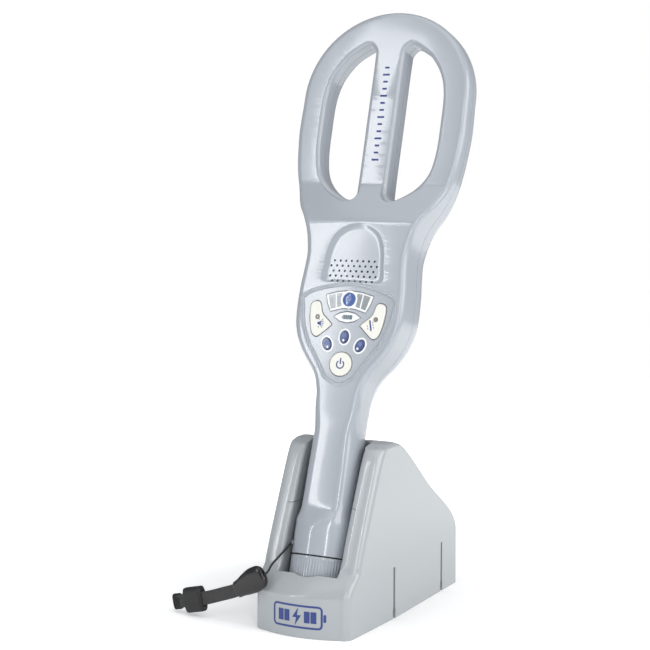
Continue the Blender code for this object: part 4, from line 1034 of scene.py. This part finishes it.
def bar(x, s, half_w, half_h, turn=0.0, corner=0.25):
    """Outline of a bar with clipped corners. Sizes are in millimetres."""
    cut = min(half_w, half_h) * corner
    marks = [(half_w, -half_h + cut), (half_w, half_h - cut), (half_w - cut, half_h), (cut - half_w, half_h),
             (-half_w, half_h - cut), (-half_w, cut - half_h), (cut - half_w, -half_h),
             (half_w - cut, -half_h)]
    c, n = math.cos(turn), math.sin(turn)
    return [Vector(((x + a * c - b * n) * 0.001, (s + a * n + b * c) * 0.001)) for a, b in marks]


def shape(points):
    return [Vector((x * 0.001, s * 0.001)) for x, s in points]


def printed(name, finish, body, level, loops=(), hoops=(), proud=0.00005):
    bm = bmesh.new()
    for loop in loops:
        mark_on(bm, loop, level, proud)
    for loop, width in hoops:
        hoop_on(bm, loop, width, level, proud)
    return dress(piece_from(bm, name, wand_place), finish, body, (), 40.0, False)


def arc_band(x, s, radius, width, start, stop, count=40):
    """Outline of a part of a ring, from one angle to another in degrees."""
    out, inn = [], []
    for k in range(count + 1):
        a = math.radians(start + (stop - start) * k / count)
        out.append(((x + (radius + width / 2) * math.cos(a)), s + (radius + width / 2) * math.sin(a)))
        inn.append(((x + (radius - width / 2) * math.cos(a)), s + (radius - width / 2) * math.sin(a)))
    return shape(out + inn[::-1])


# %% Signs on the keys
crown_y = FLOOR_Y - KEY_PROUD
printed("sign_power", ink_navy, "power_key", crown_y,
        [arc_band(0, 162.5, 2.9, 1.0, 125, 415), bar(0, 165.0, 0.52, 2.35)])
level_places = (("centre", 0, 183.2, 0.0), ("left", -13.5, 177.3, 0.45), ("right", 13.5, 177.3, -0.45))
for node, x, s, turn in level_places:
    lean = Vector((-math.sin(turn), math.cos(turn)))
    top = (x + lean.x * 1.1, s + lean.y * 1.1)
    low = (x - lean.x * 2.6, s - lean.y * 2.6)
    body = "level_" + node
    printed("sign_level_dot_" + node, ink_blue, body, crown_y,
        [oval(top[0], top[1], 0.0017, 0.0017, 0.0, 30)])
    printed("sign_level_step_" + node, ring_white, body, crown_y,
        [bar(low[0], low[1], 0.75, 0.85, turn, 0.5)])
    outline = key_outlines["level_key_" + node]
    printed("level_ring_" + node, ring_white, "wand", FLOOR_Y, (), [(grow(outline, 0.00105), 0.0013)],
        0.00012)
printed("sign_sound", ink_navy, "left_key", crown_y,
        [bar(-22.6, 192.4, 0.75, 1.0),
         shape([(-21.9, 191.5), (-20.3, 190.2), (-20.3, 194.6), (-21.9, 193.3)])]
        + [bar(-18.9 + 0.35 * abs(k) * -1, 192.4 + 1.35 * k, 0.85, 0.24, 0.42 * k) for k in (-2, -1, 0, 1, 2)]
        + [bar(-22.2, 195.2, 0.22, 0.7, -0.2), bar(-22.2, 189.6, 0.22, 0.7, 0.2)])
printed("sign_search", ink_navy, "right_key", crown_y,
        [bar(20.4, 192.6, 0.62, 4.1, 0.26)]
        + [bar(22.5 - 0.265 * 1.9 * k, 193.0 + 1.9 * k, 0.24, 0.62, 0.26) for k in (-1, 0, 1)]
        + [bar(18.1 - 0.265 * 1.9 * k, 192.0 + 1.9 * k, 0.24, 0.62, 0.26) for k in (-1, 0)])

# %% The display's four windows and its warning sign
window_y = FLOOR_Y - 0.0004


def window_part(top_from, top_to, low_from, low_to, side):
    top, low = [], []
    for k in range(7):
        u = k / 6
        x = top_from + (top_to - top_from) * u
        top.append((side * x, 217.8 - 3.3 * (x / 19.2) ** 2 - 1.3))
        x = low_from + (low_to - low_from) * u
        low.append((side * x, 205.2 - 2.9 * (x / 14.4) ** 2 + 1.3))
    return shape(top + low[::-1])


panes = [window_part(17.3, 11.7, 14.2, 10.3, side) for side in (-1, 1)]
panes += [window_part(10.7, 6.1, 9.2, 5.9, side) for side in (-1, 1)]
printed("display_panes", window_grey, "wand", window_y, panes, (), 0.00010)
lines = []
for side in (-1, 1):
    for k in range(5):
        drop = 2.6 + 1.75 * k
        lines.append(bar(side * (8.6 - 0.11 * k), 215.6 - drop, 1.35, 0.16, side * -0.22))
        lines.append(bar(side * (14.6 - 0.42 * k), 214.4 - drop, 1.5, 0.16, side * -0.30))
printed("display_lines", ink_and_shadow_grey, "wand", window_y - 0.00010, lines)
printed("alarm_ring", ring_white, "wand", window_y, (), [(oval(0, 211.4, 0.0061, 0.0061, 0.0, 56), 0.0013)],
        0.00035)
printed("display_outline", ink_and_shadow_grey, "wand", FLOOR_Y, (), [(grow(display_loop(), 0.0006), 0.0004)])
lens_y = FLOOR_Y - 0.00108
triangle = shape([(-2.5, 209.9), (2.5, 209.9), (0, 214.3)])
printed("sign_warning", key_navy, "wand", lens_y, (), [(triangle, 0.0006)])
printed("sign_warning_mark", key_navy, "wand", lens_y, [bar(0, 211.9, 0.3, 0.95), bar(0, 210.5, 0.3, 0.25)])

# %% The battery window's sign, and painted shadow lines round the keys
printed("sign_battery", icon_teal, "wand", window_y,
        [bar(0.6, 198.1, 3.9, 1.75, 0.0, 0.15), bar(-3.75, 198.1, 0.5, 0.8)])
printed("sign_battery_level", ink_and_shadow_grey, "wand", window_y - 0.00005,
        [bar(-1.9 + 1.5 * k, 198.1, 0.42, 1.15) for k in range(3)] + [bar(3.2, 198.1, 0.95, 1.35)])
# Thin dark rings round the side keys, the battery window and the power key are painted shadow, where the
# keys' edges cast shade.
for node in ("function_key_left", "function_key_right"):
    printed("painted_shadow_" + node, ink_and_shadow_grey, "wand", FLOOR_Y, (), [(grow(key_outlines[node], 0.00055), 0.00045)])
printed("painted_shadow_battery", ink_and_shadow_grey, "wand", FLOOR_Y, (), [(grow(eyelid_loop(), 0.00060), 0.00050)])
printed("painted_shadow_power", ink_and_shadow_grey, "wand", FLOOR_Y, (),
    [(grow(key_outlines["power_button"], 0.00050), 0.00035)])

# %% [markdown]
# A row of small dashes runs down the bar between the two openings. It is a plain scale, printed in the same
# navy ink as the keys.

# %% Scale on the head's bar
dashes = [bar(0.0, 322.0 + 5.6 * k, 1.9 if k % 3 else 2.9, 0.75) for k in range(14)]
printed("bar_scale", ink_navy, "wand", HEAD_Y, dashes)

# %% [markdown]
# The battery cap is turned by hand, so it is ribbed all round but for one smooth stretch on its left, with
# a raised line that shows when it is shut. Each level of the cap is a ring whose radius rises and falls with
# the ribs, and the ribs fade out towards the top and the bottom edge.


# %% The ribbed cap
def cap_ring(z, shave, ribs_deep):
    count, per = 64, 8
    ring = []
    for k in range(count * per):
        a = 2 * math.pi * k / (count * per)
        degrees = math.degrees(a)
        off = min(abs(degrees - 221.0), 360 - abs(degrees - 221.0))
        keep = min(max((off - 24.5) / 2.0, 0.0), 1.0)
        wave = 0.5 - 0.5 * math.cos(a * count)
        r = CAP_R - shave - ribs_deep * keep * wave ** 0.8
        if abs(degrees - 241.5) < 0.8:
            r -= min(ribs_deep, 0.0003)
        ring.append(Vector((r * math.cos(a), r * math.sin(a), z)))
    return ring


cap_levels = [(0.0, 0.0014, 0.0), (0.0003, 0.0006, 0.0001), (0.0009, 0.0001, 0.0006), (0.0014, 0.0, 0.0007),
              (CAP_H - 0.0026, 0.0, 0.0007), (CAP_H - 0.0019, 0.0, 0.0003), (CAP_H - 0.0016, 0.0, 0.0),
              (CAP_H - 0.0004, 0.0, 0.0), (CAP_H, 0.0004, 0.0)]
cap = skinned("battery_cap_ribbed", [cap_ring(*level) for level in cap_levels])
bore = CAP_R - 0.0031
cap_tools = [
    lathed("hollow", [(0, 0.0032), (bore, 0.0032), (bore, CAP_H + 0.001), (0, CAP_H + 0.001)], 48),
    lathed("groove", [(0.0085, -0.001), (0.0115, -0.001), (0.0115, 0.0012), (0.0085, 0.0012)], 48),
    lathed("dimple", [(0, -0.001), (0.0033, -0.001), (0.0033, 0.0012), (0, 0.0012)], 32)]
carve(cap, together("cap_tools", cap_tools))
cap.data.transform(wand_place)
dress(cap, shell_grey, "cap", ["battery_cap"], 40.0, False)
print("cap", len(cap.data.polygons), "faces")

# %% [markdown]
# The cradle is a thin moulded housing. Seen from above it is a rounded box with a bowed front, and it narrows
# as it climbs to two walls that hold the handle. A deep trough runs down into it along the wand's axis. The
# trough's mouth opens to the front, and there the walls' inner edges turn outwards in a broad round, which
# gives them their long highlights. So the tool that cuts the trough flares out as it nears the front.


# %% Outlines of the cradle
def cradle_front(z):
    rows = [(0, 0.0), (0.029, 0.0002), (0.0325, 0.0025), (LIP_Z, 0.0095), (0.046, 0.0180),
            (0.066, 0.0276), (0.106, 0.0468), (0.122, 0.0552), (0.128, 0.0600), (CRADLE_H, 0.0670)]
    return FRONT + value_at(rows, z)


def cradle_back(z):
    rows = [(0, 0.0), (BACK_Z - 0.004, 0.0), (BACK_Z + 0.004, 0.0030), (0.088, 0.0505),
            (0.122, 0.0930), (0.128, 0.1030), (CRADLE_H, 0.1100)]
    return BACK - value_at(rows, z)


def cradle_half(y, z):
    t = min(max((y - FRONT - 0.011) / 0.064, 0.0), 1.0)
    half = (CRADLE_FRONT_W + (CRADLE_W - CRADLE_FRONT_W) * t) / 2
    return half - 0.0022 * max(z - BACK_Z, 0.0) / (CRADLE_H - BACK_Z)


def cradle_section(z, inset, fine):
    front, back = cradle_front(z) + inset, cradle_back(z) - inset
    bulge = BULGE * min(max((0.050 - z) / 0.022, 0.0), 1.0)
    round_f, round_b = 0.0075 - inset, 0.0050 - inset
    half = cradle_half(front + 0.008, z) - inset
    points = []
    for k in range(4 * fine):
        x = k / (4 * fine) * (half - round_f)
        points.append((x, front + bulge * (x / half) ** 2 * 0.85))
    corner_y = front + bulge * 0.85 * ((half - round_f) / half) ** 2
    for k in range(3 * fine + 1):
        a = math.pi / 2 * k / (3 * fine)
        points.append((half - round_f + round_f * math.sin(a), corner_y + round_f * (1 - math.cos(a))))
    mid = min(max(FRONT + 0.075, corner_y + round_f + 0.001), back - round_b - 0.001)
    points.append((cradle_half(mid, z) - inset, mid))
    rear = cradle_half(back, z) - inset
    for k in range(2 * fine + 1):
        a = math.pi / 2 * k / (2 * fine)
        points.append((rear - round_b + round_b * math.cos(a), back - round_b + round_b * math.sin(a)))
    return points + [(-x, y) for x, y in points[:0:-1]]


def cradle_form(name, inset, low, fine, levels):
    rings = []
    for z in levels:
        top = max(z - (CRADLE_H - 0.0030), 0.0) / 0.0030
        shrink = 0.0026 * (1 - math.sqrt(max(1 - top * top, 0.0))) if not inset else 0.0
        foot = 0.0004 * max(1 - z / 0.0006, 0.0) if not inset else 0.0
        height = max(z - inset, 0.0) if inset else z
        ring = cradle_section(z, inset + shrink + foot, fine)
        rings.append([Vector((x, y, low if z == 0.0 else height)) for x, y in ring])
    return skinned(name, rings)


fine_levels = [0.0, 0.0006, 0.010, 0.020, 0.026]
fine_levels += [0.028 + 0.0008 * k for k in range(28)]
fine_levels += [0.052 + 0.004 * k for k in range(18)]
fine_levels += [0.1230, 0.1250, 0.1270]
fine_levels += [CRADLE_H - 0.003 * (1 - math.sin(math.pi / 2 * k / 7)) for k in range(8)]
coarse_levels = [0.0, 0.029, 0.0345, LIP_Z, 0.0465, 0.052, 0.066, 0.088, 0.106, 0.119]

# %% The trough
slope = math.tan(LEAN)
stretch = 1 / math.cos(LEAN)


def axis_y(z):
    return SEAT_Y + (z - SEAT_Z) * slope


def mouth_ring(z, radius, flare, top):
    """Level section of the trough, open to the front, its mouth flaring out to the walls' front faces."""
    widen = top * (1 - math.sqrt(max(1 - min(max((z - CRADLE_H + top) / top, 0.0), 1.0) ** 2, 0.0)))
    half = radius + widen
    y0 = axis_y(z)
    deep = radius * stretch + 0.0022 + widen
    ring = []
    for k in range(25):
        a = math.pi * k / 24
        ring.append(Vector((half * math.cos(a), y0 + deep * math.sin(a), z)))
    edge_y = cradle_front(z) + 0.0002
    start = min(edge_y + flare, y0 - 0.0002)
    for side in (-1, 1):
        arc = []
        for k in range(9):
            a = math.pi / 2 * k / 8
            arc.append(Vector((side * (half + flare * (1 - math.cos(a))), start - flare * math.sin(a), z)))
        arc.append(Vector((side * (half + flare + 0.0015), start - flare - 0.0003, z)))
        arc.append(Vector((side * (half + flare + 0.0015), FRONT - 0.03, z)))
        ring += arc if side < 0 else arc[::-1]
    return ring


def trough_tools():
    radius = CAP_R + TROUGH_GAP
    pocket_rings = []
    for s in (-0.0003, 0.004, 0.0085, 0.020, 0.040):
        pocket_rings.append([Vector((radius * math.cos(a), radius * math.sin(a), s))
                             for a in (2 * math.pi * (k + 0.5) / 64 for k in range(64))])
    pocket = skinned("pocket", pocket_rings, wand_place)
    sill = SEAT_Z + 0.0010
    levels = [sill + 0.0025 * k for k in range(40)]
    levels = [z for z in levels if z < CRADLE_H - 0.0045]
    levels += [CRADLE_H - 0.0035 * (1 - math.sin(math.pi / 2 * k / 7)) for k in range(8)]
    rings = []
    for z in levels + [CRADLE_H + 0.004]:
        rings.append(mouth_ring(z, radius, 0.0036, 0.0022))
    return pocket, skinned("mouth", rings)


# %% Build the housing
housing = cradle_form("cradle_housing_moulded", 0.0, 0.0, 3, fine_levels)
hollow = cradle_form("hollow", CRADLE_WALL, -0.01, 1, coarse_levels)
keep_r = CAP_R + TROUGH_GAP + CRADLE_WALL
keep_rings = []
for s, open_mouth in ((-0.0028, 0), (0.0053, 0), (0.0054, 1), (0.150, 1)):
    ring = []
    for k in range(25):
        a = math.pi * k / 24
        ring.append(Vector((keep_r * math.cos(a), (keep_r + 0.0025 * open_mouth) * math.sin(a), s)))
    for k in range(1, 24):
        a = math.pi + math.pi * k / 24
        flat = Vector((keep_r * max(-1.0, min(1.0, (k - 12) / 4)), -0.060 * min(k, 24 - k, 8) / 8, s))
        round_spot = Vector((keep_r * math.cos(a), keep_r * math.sin(a), s))
        ring.append(flat if open_mouth else round_spot)
    keep_rings.append(ring)
carve(hollow, skinned("keep", keep_rings, wand_place))
carve(housing, hollow)
pocket, mouth = trough_tools()
carve(mouth, block("below_sill", (-0.1, -0.2, -0.1), (0.1, 0.2, TROUGH_SILL), wand_place))
carve(housing, pocket)
carve(housing, mouth)
print("housing", len(housing.data.polygons), "faces")

# %% [markdown]
# Each side has two upright slits, a little wider at the foot, where the housing snaps over its inner frame.
# A short fine groove crosses each wall's inner edge halfway up, and the seat has two holes for the charging
# pins. All of these are cut last, because a cut into a finished form keeps its own crisp edges.

# %% Slits, grooves and holes
cuts = []
for y in (FRONT + 0.075, FRONT + 0.162):
    for side in (-1, 1):
        x = side * cradle_half(y, 0.0)
        cuts.append(block("slit", (x - 0.006, y - 0.0015, 0.0060), (x + 0.006, y + 0.0015, 0.0390)))
        cuts.append(block("slit_foot", (x - 0.0061, y - 0.0022, -0.006), (x + 0.0061, y + 0.0022, 0.0075)))
carve(housing, together("slits", cuts[0::2]))
carve(housing, together("slit_feet", cuts[1::2]))
holes = []
for x in (0.0, 0.0100):
    hole = [(0, -0.006), (0.0015, -0.006), (0.0015, 0.001), (0, 0.001)]
    holes.append(lathed("pin_hole", hole, 24, wand_place @ Matrix.Translation((x, 0, 0))))
carve(housing, together("pin_holes", holes))
socket_place = Matrix.Translation((0.0, BACK, 0.014)) @ Matrix.Rotation(math.pi / 2, 4, "X")
socket_hole = [(0, -0.005), (0.0048, -0.005), (0.0044, -0.0002), (0.0042, 0.0004),
               (0.0042, 0.005), (0, 0.005)]
carve(housing, lathed("socket_hole", socket_hole, 40, socket_place))
tick_z = SEAT_Z + 0.062 * math.cos(LEAN)
edge = CAP_R + TROUGH_GAP
ticks = [block("tick", (min(side * (edge - 0.001), side * (edge + 0.0042)), cradle_front(tick_z) - 0.004,
                        tick_z - 0.0002),
               (max(side * (edge - 0.001), side * (edge + 0.0042)), cradle_front(tick_z) + 0.012,
                tick_z + 0.0002))
         for side in (-1, 1)]
carve(housing, together("ticks", ticks))
dress(housing, cradle_grey, "cradle", ["cradle_housing"], 30.0)

# %% [markdown]
# The front of the cradle carries a printed sign: a battery with a flash in it, which says what the cradle
# does. The front is bowed, so the sign's points are laid on that bow.


# %% The charging sign
def on_front(x, z, out):
    half = cradle_half(cradle_front(z) + 0.008, z)
    return Vector((x, cradle_front(z) + BULGE * (x / half) ** 2 * 0.85 - out, z))


def rounded(x, z, half_w, half_h, r, count=8):
    loop = []
    for cx, cz, start in ((1, 1, 0), (-1, 1, 90), (-1, -1, 180), (1, -1, 270)):
        for k in range(count + 1):
            a = math.radians(start + 90 * k / count)
            across = x + cx * (half_w - r) + r * math.cos(a)
            up = z + cz * (half_h - r) + r * math.sin(a)
            loop.append(Vector((across, up)))
    return loop


def dense(loop, most=0.0015):
    out = []
    for i, spot in enumerate(loop):
        after = loop[(i + 1) % len(loop)]
        count = max(int((after - spot).length / most), 1)
        out += [spot.lerp(after, k / count) for k in range(count)]
    return out


def front_print(name, finish, loops, hoops):
    bm = bmesh.new()
    for loop in loops:
        skin(bm, [[on_front(p.x, p.y, out) for p in dense(loop)] for out in (-0.0003, 0.00006)])
    for loop, width in hoops:
        wide, slim = grow(dense(loop), width / 2), grow(dense(loop), -width / 2)
        rings = [[on_front(o.x, o.y, -0.0003), on_front(o.x, o.y, 0.00006), on_front(i.x, i.y, 0.00006),
                  on_front(i.x, i.y, -0.0003)] for o, i in zip(wide, slim)]
        skin(bm, rings + [rings[0]], ends=False)
    return dress(piece_from(bm, name), finish, "cradle", (), 40.0, False)


flash = shape([(1.4, 22.3), (-3.6, 14.8), (-0.4, 14.8), (-1.6, 8.9), (3.6, 16.6), (0.4, 16.6)])
cells = [rounded(x * 0.001, 0.0156, 0.0022, 0.0042, 0.0004, 3) for x in (-13.0, -8.0, 8.0, 13.0)]
front_print("charging_sign", ink_navy, [flash, rounded(0.0212, 0.0156, 0.0010, 0.0028, 0.0005, 3)] + cells,
            [(rounded(0.0, 0.0156, 0.0190, 0.0078, 0.0026), 0.0015)])

# %% [markdown]
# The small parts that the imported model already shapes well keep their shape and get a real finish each. The
# coil, the boards and the cells sit inside the shells and show only if a shell is hidden.

# %% Finishes for the small parts
def refinish(finish, *names):
    for name in names:
        node = nodes[name]
        node.data.materials.clear()
        node.data.materials.append(finish)


numbered = [1, 2, 3, 4]
refinish(screw_steel, *["shell_screw_%d" % k for k in numbered], *["base_screw_%d" % k for k in numbered])
refinish(screw_steel, "battery_contact", "battery_spring", "vibration_motor")
refinish(pin_steel, "charge_pin_1", "charge_pin_2", "cap_contact_ring", "cap_contact_centre")
refinish(foot_rubber, *["rubber_foot_%d" % k for k in numbered], "cap_seal")
refinish(base_grey, "cradle_base")
refinish(matt_black, "power_socket", "speaker")
refinish(board_green, "main_board", "charge_board")
refinish(cell_sleeve, "battery_cell_1", "battery_cell_2")
refinish(coil_copper, "search_coil")

# %% The strap's eye, rounder than the model's
eye_place = (wand_place @ Matrix.Rotation(math.radians(210), 4, "Z")
             @ Matrix.Translation((CAP_R + GAP, 0, 0.029)))
bow = bmesh.new()
bow_rings = []
for k in range(25):
    a = math.pi * k / 24
    middle = Vector((0.00035, 0.00205 * math.cos(a), 0.00205 * math.sin(a) - 0.0005))
    out = Vector((0, math.cos(a), math.sin(a)))
    bow_rings.append([middle + out * 0.00075 * math.cos(t) + Vector((0.00035 * math.sin(t), 0, 0))
                      for t in (2 * math.pi * j / 12 for j in range(12))])
skin(bow, bow_rings)
dress(piece_from(bow, "strap_eye_moulded", eye_place), shell_grey, "wand", ["strap_lug"], 50.0,
    False)

# %% [markdown]
# The stage is a plain pale floor with nothing else on it.

# %% Floor
floor_paint = bpy.data.materials.new("floor_paint")
floor_paint.use_nodes = True
floor_tree = floor_paint.node_tree
floor_shader = floor_tree.nodes["Principled BSDF"]
floor_shader.inputs["Roughness"].default_value = 0.9
floor_spot = floor_tree.nodes.new("ShaderNodeTexCoord").outputs["Object"]
floor_cloud = noise(floor_tree, floor_spot, 3.0)
floor_tint = blend_colour(floor_tree, floor_cloud, (0.95, 0.95, 0.95, 1.0), (0.97, 0.97, 0.97, 1.0))
floor_tree.links.new(floor_tint, floor_shader.inputs["Base Color"])
floor_reach = floor_tree.nodes.new("ShaderNodeVectorMath")
floor_reach.operation = "LENGTH"
floor_tree.links.new(floor_spot, floor_reach.inputs[0])
floor_shader.inputs["Emission Color"].default_value = (1.0, 1.0, 1.0, 1.0)
floor_tree.links.new(spread(floor_tree, floor_reach.outputs["Value"], 0.12, 0.80, 0.04, 0.42),
                     floor_shader.inputs["Emission Strength"])
floor_mesh = bmesh.new()
bmesh.ops.create_circle(floor_mesh, cap_ends=True, segments=96, radius=1.3)
floor = piece_from(floor_mesh, "floor", Matrix.Translation((0, 0, -0.0001)))
if floor.data.polygons[0].normal.z < 0:
    floor.data.flip_normals()
floor.data.materials.append(floor_paint)

# %% [markdown]
# The light is a soft studio's: a broad lamp high on the right for the bright side, a tall narrow one on each
# side for the long highlights in the gloss, a soft one overhead, and a pale surround that fills the rest.


# %% Lights
def lamp(name, spot, target, wide, high, power, colour=(1.0, 1.0, 1.0)):
    light = bpy.data.lights.new(name, "AREA")
    light.shape = "RECTANGLE"
    light.size, light.size_y = wide, high
    light.energy = power
    light.color = colour
    obj = bpy.data.objects.new(name, light)
    obj.location = spot
    obj.rotation_euler = (Vector(target) - Vector(spot)).to_track_quat("-Z", "Y").to_euler()
    bpy.context.scene.collection.objects.link(obj)


middle = (0.0, 0.0, 0.20)
lamp("broad_right", (1.50, -0.20, 1.00), middle, 1.2, 1.2, 16.0, (1.0, 0.995, 0.97))
lamp("narrow_right", (0.95, -1.30, 0.75), middle, 0.12, 1.2, 6.0)
lamp("narrow_left", (-0.80, -1.30, 0.80), middle, 0.12, 1.2, 5.0, (0.97, 0.98, 1.0))
lamp("overhead", (0.0, -0.3, 1.8), middle, 1.6, 1.6, 9.0)
surround = bpy.data.worlds.new("surround")
surround.use_nodes = True
sky = surround.node_tree
fill = sky.nodes["Background"]
fill.inputs["Color"].default_value = (0.93, 0.95, 0.98, 1.0)
fill.inputs["Strength"].default_value = 0.36
backdrop = sky.nodes.new("ShaderNodeBackground")
backdrop.inputs["Color"].default_value = (1.0, 1.0, 1.0, 1.0)
backdrop.inputs["Strength"].default_value = 1.0
seen = sky.nodes.new("ShaderNodeLightPath")
either = sky.nodes.new("ShaderNodeMixShader")
sky.links.new(seen.outputs["Is Camera Ray"], either.inputs[0])
sky.links.new(fill.outputs[0], either.inputs[1])
sky.links.new(backdrop.outputs[0], either.inputs[2])
sky.links.new(either.outputs[0], sky.nodes["World Output"].inputs["Surface"])
bpy.context.scene.world = surround
bpy.context.scene.view_settings.view_transform = "Standard"
